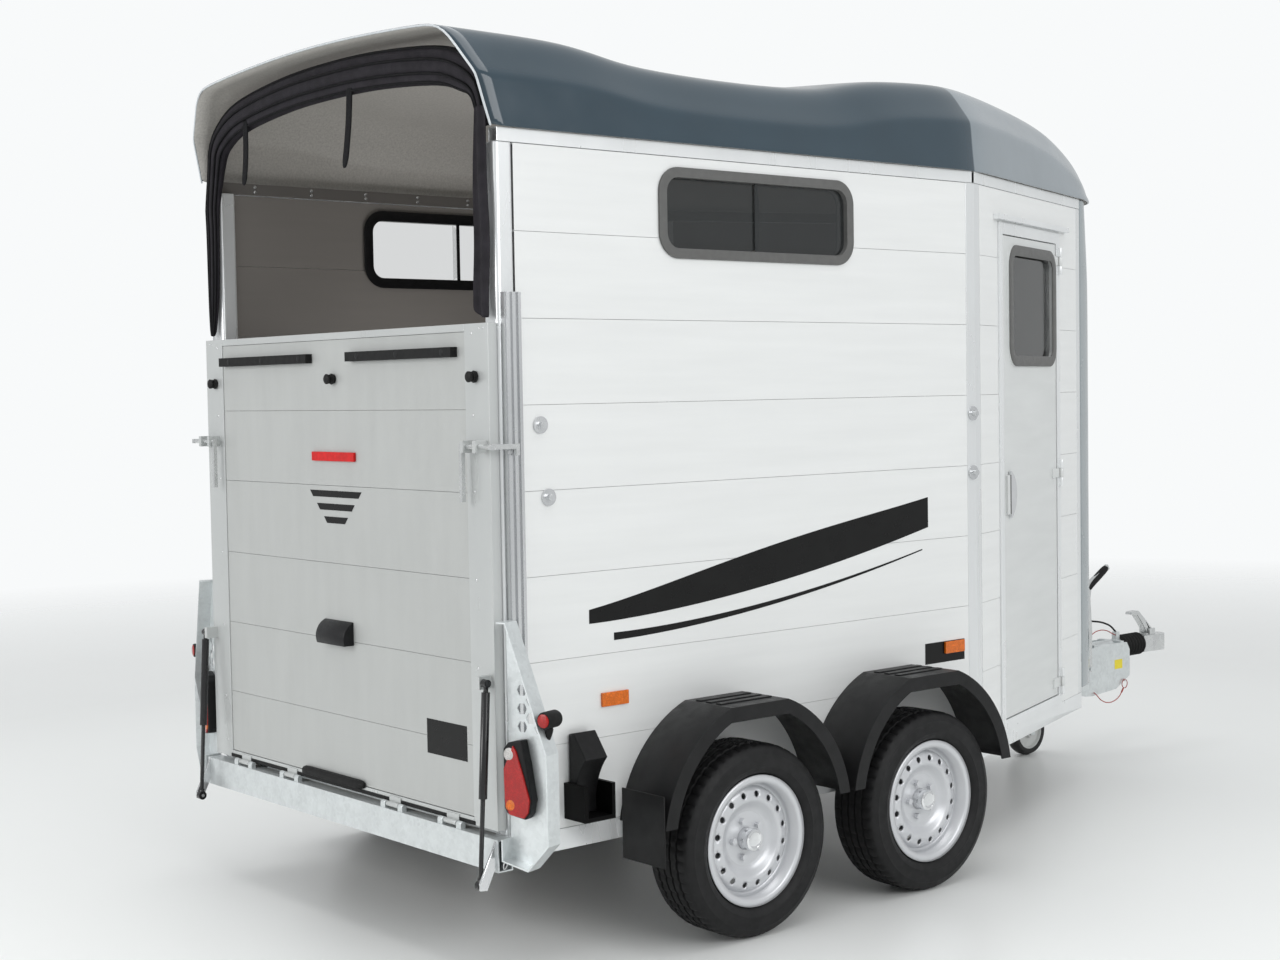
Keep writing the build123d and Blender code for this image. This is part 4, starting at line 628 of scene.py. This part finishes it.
for k, (y, z, tall, deep) in enumerate(spots):
    before, after = spots[max(k - 1, 0)], spots[min(k + 1, len(spots) - 1)]
    run = Vector((0, after[0] - before[0], after[1] - before[1])).normalized()
    out = Vector((0, -run.z, run.y))
    ring = []
    for n in range(32):
        a = 2 * math.pi * n / 32
        across = math.sin(a)
        ripple = 0.86 + 0.13 * math.cos(across * 9.4 + 0.3) + 0.03 * math.sin(k * 0.5 + n)
        depth = math.cos(a)
        flat = abs(across) ** 0.8 * (1 if across > 0 else -1)
        ring.append(P(roll_middle(y, z) - (deep * ripple if depth > 0 else deep) * depth, y, z)
                    + out * (flat * tall / 1000))
    roll_rows.append(ring)
roll = piece("rolled_curtain", *loft(roll_rows, closed=True, caps=True), "tarp", "trailer", smooth=50,
             subdivide=1)
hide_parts("rolled_tarp")

seam_line = []
for k, (y, z, tall, deep) in enumerate(spots):
    before, after = spots[max(k - 1, 0)], spots[min(k + 1, len(spots) - 1)]
    run = Vector((0, after[0] - before[0], after[1] - before[1])).normalized()
    out = Vector((0, -run.z, run.y))
    station = roll_middle(y, z)
    seam_line.append([P(station - deep * share, y, z) + out * (tall * height / 1000)
                      for share, height in ((0.55, 0.86), (0.88, 0.28), (0.55, -0.86), (0.84, -0.42))])
bindings = piece("curtain_binding", *combined([tube([s[n] for s in seam_line[3:]], 0.004) for n in range(4)]),
                 "binding", "trailer", smooth=80)

# Right curtain: a narrow sheet with soft vertical folds
sheet_rows = []
for row in range(29):
    z = 2400 - row * (2400 - 1826) / 28
    drop = row / 28
    line = []
    for col in range(13):
        across = col / 12
        y = -806 + across * (52 + 10 * math.sin(drop * 2.4)) + 4 * math.sin(drop * 9)
        lift = 22 * max(0.0, 1 - min(1.0, (1 - drop) / 0.07)) * across ** 3
        line.append(P(9 + 4.5 * math.sin(across * 9 + drop * 2) + 2 * math.sin(drop * 11), y, z + lift))
    sheet_rows.append(line)
hanging = piece("hanging_curtain", *loft(sheet_rows), "tarp", "trailer", smooth=60, subdivide=1,
                thickness=0.002)

straps = []
for start, end in (((-116, 2560), (-77, 2302)), ((527, 2516), (544, 2308))):
    strap_rows = []
    for k in range(15):
        t = k / 14
        y = start[0] + (end[0] - start[0]) * t
        z = start[1] + (end[1] - start[1]) * t
        wide = 16 if t < 0.93 else 16 - 8 * (t - 0.93) / 0.07
        x = 12 + 5 * math.sin(t * 3.1)
        strap_rows.append([P(x, y - wide, z), P(x - 1, y, z), P(x, y + wide, z)])
    straps.append(loft(strap_rows))
strap_piece = piece("curtain_straps", *combined(straps), "binding", "trailer", smooth=60, subdivide=1,
                    thickness=0.002)
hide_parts("tarp_straps")

# ---------------------------------------------------------------------------
# Tyres with cut tread, and wheel caps
# ---------------------------------------------------------------------------
TYRE = ((178, -70), (196, -72), (203, -82), (222, -90), (242, -92), (258, -89), (272, -85), (280, -79),
        (285, -71), (287.5, -62), (288.2, -48), (281, -46), (281, -40), (288.4, -38), (288.4, -18),
        (281, -17), (281, -11), (288.4, -10), (288.4, 10), (281, 11), (281, 17), (288.4, 18), (288.4, 38),
        (281, 40), (281, 46), (288.2, 48), (287.5, 62), (285, 71), (280, 79), (272, 85), (262, 88.5),
        (259, 90.6), (256, 90.6), (253, 89.8), (242, 92), (225, 91), (222, 92.2), (219, 91), (208, 86),
        (203, 82), (196, 72), (178, 70))
STEPS = 216
WHEEL_Y, CAP_OUT = 0.918, 0.058
for side, word in SIDES:
    for row in ("rear", "front"):
        low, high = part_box(f"tyre_{row}_{word}")
        centre = (low + high) / 2
        grid = []
        for r, across in TYRE:
            ring = []
            for k in range(STEPS):
                a = 2 * math.pi * k / STEPS
                cut = 0.0
                if 282 < r and abs(across) > 18 and (k + (2 if across > 0 else 0)) % 4 == 0:
                    cut = 4.5
                if 282 < r and abs(across) <= 18 and k % 6 == 3:
                    cut = 3.5
                radius = (r - cut) / 1000
                skew = 0.00035 * across * (1 if across > 0 else -1) / 10
                ring.append(centre + Vector((radius * math.cos(a + skew), side * across / 1000,
                                             radius * math.sin(a + skew))))
            grid.append(ring)
        tyre = piece(f"tread_tyre_{row}_{word}", *loft(grid, closed=True), "tyre", f"wheel_{row}_{word}",
                     smooth=32)
        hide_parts(f"tyre_{row}_{word}")
        hub = Vector((centre.x, side * (WHEEL_Y + CAP_OUT), centre.z))
        cap = piece(f"hub_cap_{row}_{word}",
                    *lathe([(0.0335, -0.012), (0.0335, 0.006), (0.031, 0.0105), (0.024, 0.0125),
                            (0.022, 0.0115), (0.010, 0.0118), (0, 0.0119)], hub, Vector((0, side, 0)),
                           Vector((1, 0, 0)), 40),
                    "chrome", f"wheel_{row}_{word}", smooth=30)

# ---------------------------------------------------------------------------
# Tail lamps and marker lamps
# ---------------------------------------------------------------------------
LAMP = ((6, 654), (22, 672), (46, 678), (68, 682), (84, 610), (100, 520), (92, 482), (78, 465), (43, 470),
        (16, 476), (6, 492))
RED = ((9, 600), (10, 560), (11, 520), (13, 500), (27, 475), (76, 469), (90, 486), (96, 520), (74, 590),
       (52, 652), (41, 666), (31, 642))


def fittings_on_guard(side, word):
    """One tail lamp, its lenses and the marker lamp on its arm."""
    ahead = (guard(0, 1, 0, side) - guard(0, 0, 0, side)).normalized()
    out = (guard(1, 0, 0, side) - guard(0, 0, 0, side)).normalized()
    housing = piece(f"lamp_housing_{word}", *prism([guard(u, -31, z, side) for u, z in LAMP], ahead * 0.0305),
                    "plastic", "trailer", bevel=0.004)
    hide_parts("tail_lamps")
    red = piece(f"lamp_red_{word}", *prism([guard(u, -35.5, z, side) for u, z in RED], ahead * 0.007),
                "red_lens", "trailer", bevel=0.002)
    for label, z, material_name, slot_name in (("clear", 640, "clear_lens", "lamp_red"),
                                               ("amber", 502, "amber_lens", "reflector_amber")):
        eye = piece(f"lamp_{label}_{word}",
                    *lathe([(0.0185, -0.004), (0.0185, 0.0015), (0.016, 0.0030), (0.009, 0.0034),
                            (0, 0.0032)],
                           guard(29 if z > 600 else 31, -32.4, z, side), -ahead, out, 36),
                    material_name, "trailer")
    spot = guard(156, -17, 744, side)
    rubber = piece(f"marker_body_{word}",
                   *lathe([(0.010, -0.029), (0.0215, -0.029), (0.0235, -0.025), (0.0235, 0.024),
                           (0.0215, 0.029),
                           (0.010, 0.029)], spot, ahead, out, 36), "rubber", "trailer")
    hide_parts("tail_lamps")
    for facing, lens_name in ((-1, "red_lens"), (1, "clear_lens")):
        eye = piece(f"marker_eye_{lens_name}_{word}",
                    *lathe([(0.0185, 0), (0.0185, 0.002), (0.015, 0.0035), (0.007, 0.004), (0, 0.004)],
                           spot + ahead * (facing * 0.0287), ahead * facing, out, 32), lens_name, "trailer")
    arm = piece(f"marker_arm_{word}",
                *tube([guard(128, -5, 668, side), guard(139, -8, 690, side), guard(151, -13, 710, side),
                       guard(155, -16, 726, side)], 0.011, 14, (0.8, 0.9, 1, 1.1)), "rubber", "trailer",
                smooth=80, subdivide=1)


for side, word in SIDES:
    fittings_on_guard(side, word)

# ---------------------------------------------------------------------------
# Window dividers and seals
# ---------------------------------------------------------------------------
for side, word in SIDES:
    low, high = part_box(f"window_slider_{word}")
    inner = (high.y if side < 0 else low.y) - side * 0.0006
    deep = inner - side * 0.0045
    bar = piece(f"window_divider_{word}",
                *brick(Vector((high.x - 0.014, min(inner, deep), low.z - 0.004)),
                       Vector((high.x - 0.001, max(inner, deep), high.z + 0.004))),
                "plastic", "trailer", bevel=0.0012)


def rounded_ring(plane_point, width, height, corner, steps=8):
    """Points round a rounded rectangle; plane_point(u, v) places them."""
    out = []
    for cx, cy, first in ((1, 1, 0), (-1, 1, 1), (-1, -1, 2), (1, -1, 3)):
        for k in range(steps + 1):
            a = math.pi / 2 * (first + k / steps)
            out.append(plane_point(cx * (width / 2 - corner) + corner * math.cos(a),
                                   cy * (height / 2 - corner) + corner * math.sin(a)))
    return out


def ring_piece(name, place, width, height, corner, band, low, high, material_name, body):
    """A moulded window surround: a rounded band with a domed face."""
    rows_of = []
    profile = ((0, low), (0, high - 1.5), (2, high), (band - 3, high), (band, high - 2), (band, low))
    for inset, out in profile:
        rows_of.append(rounded_ring(lambda u, v, o=out: place(u, v, o), width - 2 * inset, height - 2 * inset,
                                    max(corner - inset, 4)))
    rows_of.append(rows_of[0])
    return piece(name, *loft(rows_of, closed=True), material_name, body, smooth=40)


door_ring = ring_piece("door_window_surround", lambda u, v, o: wall(597.5 + u, o, 1901 + v), 530, 433, 74, 38,
                       7.5, 12.5, "grey_plastic", "door")
for side, word in SIDES:
    low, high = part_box("window_frames")
    mid_x = (low.x + high.x) / 2
    mid_z = (low.z + high.z) / 2
    width, height = (high.x - low.x) * 1000, (high.z - low.z) * 1000
    ring = ring_piece(f"window_inner_{word}",
                      lambda u, v, o, s=side: Vector((mid_x + u / 1000, s * (INNER_FACE - o / 1000),
                                                      mid_z + v / 1000)),
                      width + 8, height + 8, 78, 36, 0.2, 5, "plastic", "trailer")

# ---------------------------------------------------------------------------
# Small hardware: rivets, bolts, screws, clips
# ---------------------------------------------------------------------------
back, right = Vector((-1, 0, 0)), Vector((0, -1, 0))
rivets = []
for side, _ in SIDES:
    for z in (1785, 1560, 1350, 1105, 860, 620, 470):
        rivets.append(dome(P(0.2, side * 735, z), back, 0.004, 0.0018))
    for y in (790, 770):
        rivets.append(dome(P(0.2, side * y, 1798), back, 0.003, 0.0015))
ramp_rivets = piece("ramp_rivets", *combined(rivets), "zinc", "ramp", smooth=50)

screws = []
for low, high in ((125, 687), (-660, -104)):
    for share in (0.08, 0.5, 0.88):
        screws.append(dome(P(-19.5, low + (high - low) * share, 1736), back, 0.010, 0.002))
bar_screws = piece("ramp_bar_screws", *combined(screws), "plastic", "ramp", smooth=50)

knobs = []
for y, z in ((748, 1666), (-748, 1666), (0, 1671)):
    knobs.append(lathe([(0.016, 0), (0.017, 0.004), (0.013, 0.007), (0.011, 0.012), (0.015, 0.017),
                        (0.0155, 0.022),
                        (0.012, 0.025), (0, 0.0255)], P(-1, y, z), back, Vector((0, 1, 0)), 28))
knob_piece = piece("ramp_buffers", *combined(knobs), "rubber", "ramp", smooth=50)

rail_bolts = []
for side, _ in SIDES:
    for station in range(180, 1980, 220):
        for z in (2316, 2332):
            rail_bolts.append(dome(P(station, side * 775.5, z), Vector((0, -side, 0)), 0.006, 0.003))
rail_piece = piece("inner_rail_bolts", *combined(rail_bolts), "zinc", "trailer", smooth=50)

# Ribs pressed into the flat tops of the mudguards
ribs = []
for side, _ in SIDES:
    for station in (804, 1575):
        for across in (862, 906, 950):
            base = P(station - 104, side * across, 699)
            ribs.append(brick(Vector((base.x, base.y - 0.012, base.z)),
                              Vector((base.x + 0.208, base.y + 0.012, base.z + 0.005))))
rib_piece = piece("mudguard_ribs", *combined(ribs), "guard", "trailer", bevel=0.0025)

# Black pad on the ramp's lower edge
pad_outline = [P(-19, 0, 434), P(-19, 0, 448), P(-12, 0, 456), P(-0.5, 0, 458), P(-0.5, 0, 430)]
pad_face, pad_middle = P(-0.5, 0, 0).x, 0.444
pad_rows = []
for y, grow in ((226, 0.55), (214, 0.9), (190, 1.0), (46, 1.0), (-98, 1.0), (-122, 0.9), (-134, 0.55)):
    pad_rows.append([Vector((pad_face + (p.x - pad_face) * grow, y / 1000,
                             pad_middle + (p.z - pad_middle) * grow)) for p in pad_outline])
foot_pad = piece("ramp_foot_pad", *loft(pad_rows, closed=True, caps=True), "rubber", "ramp", bevel=0.002)

# Black seal along the bottom of the ramp
seal = piece("ramp_seal", *brick(P(-2.5, -706, 417.5), P(0.5, 706, 429)), "rubber", "ramp", bevel=0.001)

# R-clips that hang at the ends of the rear beam
clips = []
for side, _ in SIDES:
    y = side * 846
    line = [P(-2, y, 372), P(-4, y + side * 4, 352), P(-8, y, 330), P(-2, y - side * 5, 318), P(4, y, 330),
            P(2, y + side * 4, 350), P(4, y, 366)]
    clips.append(tube([Vector(p) for p in smooth_path([tuple(q) for q in line], 40)], 0.002, 8))
clip_piece = piece("beam_clips", *combined(clips), "zinc", "trailer", smooth=60)

# ---------------------------------------------------------------------------
# Plain generic graphics
# ---------------------------------------------------------------------------


def sticker(name, outline, normal, body, material_name="decal"):
    """A thin flat sticker just off a surface."""
    made = piece(name, *prism([p + normal * 0.0002 for p in outline], normal * 0.0005), material_name, body)
    return made


for side, word in SIDES:
    out = Vector((0, side, 0))
    y = side * 816
    sweep = []
    for k in range(25):
        t = k / 24
        sweep.append(P(330 + 1450 * t, y, 960 + 190 * t ** 1.7))
    upper = [P(330 + 1450 * t, y, 1000 + 250 * t ** 1.7 + 60 * math.sin(math.pi * t))
             for t in (k / 24 for k in range(25))]
    sticker(f"side_stripe_{word}", sweep + upper[::-1], out, "trailer")
    slim = [P(420 + 1330 * t, y, 905 + 170 * t ** 1.7) for t in (k / 24 for k in range(25))]
    slim_up = [p + Vector((0, 0, 0.018 * (1 - k / 24) + 0.004)) for k, p in enumerate(slim)]
    sticker(f"side_line_{word}", slim + slim_up[::-1], out, "trailer")
for number, (wide, z) in enumerate(((150, 1330), (110, 1290), (70, 1250))):
    sticker(f"ramp_bar_{number}", [P(3, 5 + wide, z), P(3, 5 - wide, z), P(3, 5 - wide + 18, z - 20),
                                   P(3, 5 + wide - 18, z - 20)], back, "ramp")

sticker("ramp_plate", [P(3, -470, 590), P(3, -670, 590), P(3, -670, 690), P(3, -470, 690)], back, "ramp")
sticker("side_plate", [P(1760, -816, 690), P(1960, -816, 690), P(1960, -816, 760), P(1760, -816, 760)], right,
        "trailer")

# ---------------------------------------------------------------------------
# Coupling: bellows, brake grip, label
# ---------------------------------------------------------------------------
low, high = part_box("bellows")
middle = (low + high) / 2
span = high.x - low.x
profile = [(0.0256, 0), (0.037, 0)]
FOLDS = 7
for k in range(FOLDS * 8 + 1):
    t = k / (FOLDS * 8)
    wavey = 0.5 - 0.5 * math.cos(2 * math.pi * FOLDS * t)
    profile.append((0.0385 + 0.0112 * wavey ** 0.8, 0.003 + (span - 0.006) * t))
profile += [(0.037, span), (0.0256, span)]
boot = piece("drawbar_boot", *lathe(profile, Vector((low.x, middle.y, middle.z)), Vector((1, 0, 0)),
                                    Vector((0, 0, 1)), 56), "rubber", "trailer", smooth=70)
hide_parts("bellows")
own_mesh(boot)

brake_low, brake_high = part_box("handbrake_lever")
grip_y = (brake_low.y + brake_high.y) / 2
grip_line = [P(3638, 0, 738), P(3652, 0, 756), P(3690, 0, 779), P(3730, 0, 802), P(3762, 0, 821),
             P(3771, 0, 826)]
grip = piece("brake_grip", *tube([Vector((p.x, grip_y, p.z)) for p in grip_line], 0.0165, 20,
                                 (0.8, 0.95, 1.0, 0.98, 0.95, 0.55)),
             "rubber", "handbrake", smooth=70, subdivide=1)
sticker("coupling_label", [P(3850, -66, 372), P(3905, -66, 372), P(3905, -66, 412), P(3850, -66, 412)],
        right, "trailer", "label")

# ---------------------------------------------------------------------------
# Studio
# ---------------------------------------------------------------------------


def stage_floor():
    """A large floor that fades into the surroundings well away from the trailer."""
    mesh = bpy.data.meshes.new("studio_floor")
    points, faces = loft([[Vector((-40 + 4 * c, -40 + 4 * r, 0)) for c in range(21)] for r in range(21)])
    mesh.from_pydata([tuple(p) for p in points], [], faces)
    made = bpy.data.objects.new("studio_floor", mesh)
    bpy.context.scene.collection.objects.link(made)
    s = Shader("studio_floor")
    drift = s.noise(0.7, 3)
    s.link(s.mix(s.spread(drift, 0, 1), (0.815, 0.825, 0.815), (0.83, 0.84, 0.83)),
           s.bsdf.inputs["Base Color"])
    s.link(s.spread(s.noise(3, 2), 0.34, 0.36), s.bsdf.inputs["Roughness"])
    x, y, _ = s.axes()
    away = s.math("SQRT", s.math("ADD", s.math("MULTIPLY", x, x), s.math("MULTIPLY", y, y)))
    s.link(s.spread(away, 1, 0, 4.5, 11.0), s.bsdf.inputs["Alpha"])
    mesh.materials.append(s.mat)


stage_floor()
world = bpy.data.worlds.new("studio")
bpy.context.scene.world = world
world.use_nodes = True
tree = world.node_tree
ambient = tree.nodes["Background"]
ambient.inputs[0].default_value = (0.95, 0.97, 0.98, 1)
ambient.inputs[1].default_value = 0.66
seen = tree.nodes.new("ShaderNodeBackground")
seen.inputs[0].default_value = (0.94, 0.955, 0.96, 1)
seen.inputs[1].default_value = 1.0
choice = tree.nodes.new("ShaderNodeMixShader")
tree.links.new(tree.nodes.new("ShaderNodeLightPath").outputs["Is Camera Ray"], choice.inputs[0])
tree.links.new(ambient.outputs[0], choice.inputs[1])
tree.links.new(seen.outputs[0], choice.inputs[2])
tree.links.new(choice.outputs[0], tree.nodes["World Output"].inputs[0])


def area_light(name, place, target, size, power, shown=True):
    """A soft rectangular light aimed at a point."""
    data = bpy.data.lights.new(name, "AREA")
    data.shape = "RECTANGLE"
    data.size, data.size_y = size
    data.energy = power
    made = bpy.data.objects.new(name, data)
    made.location = place
    made.rotation_euler = (Vector(target) - Vector(place)).to_track_quat("-Z", "Y").to_euler()
    made.visible_camera = False
    made.visible_glossy = shown
    bpy.context.scene.collection.objects.link(made)


area_light("key", (-0.5, -9, 5.0), (0, 0, 1.2), (8, 4), 300)
area_light("top", (-1, 0, 8), (0, 0, 0), (9, 5), 260)
area_light("rear", (-8, 1.0, 3.2), (-2, 0, 1.5), (4, 3), 190)
area_light("inside", (-1.2, -0.1, 1.45), (-0.9, 0.35, 2.3), (1.0, 0.8), 9, shown=False)

camera_data = bpy.data.cameras.new("camera")
camera_data.lens = 53.2
camera_data.sensor_width = 36
camera = bpy.data.objects.new("camera", camera_data)
yaw, pitch, roll_angle = (math.radians(a) for a in (49.839, -2.715, -0.965))
ahead = Vector((math.cos(yaw) * math.cos(pitch), math.sin(yaw) * math.cos(pitch), math.sin(pitch)))
across = Vector((math.sin(yaw), -math.cos(yaw), 0))
up = across.cross(ahead)
tilted = across * math.cos(roll_angle) + up * math.sin(roll_angle)
raised = -across * math.sin(roll_angle) + up * math.cos(roll_angle)
turn = Matrix((tilted, raised, -ahead)).transposed()
camera.matrix_world = Matrix.Translation((-5.1104, -5.0042, 1.6212)) @ turn.to_4x4()
bpy.context.scene.collection.objects.link(camera)
bpy.context.scene.camera = camera
bpy.context.scene.view_settings.view_transform = "Standard"
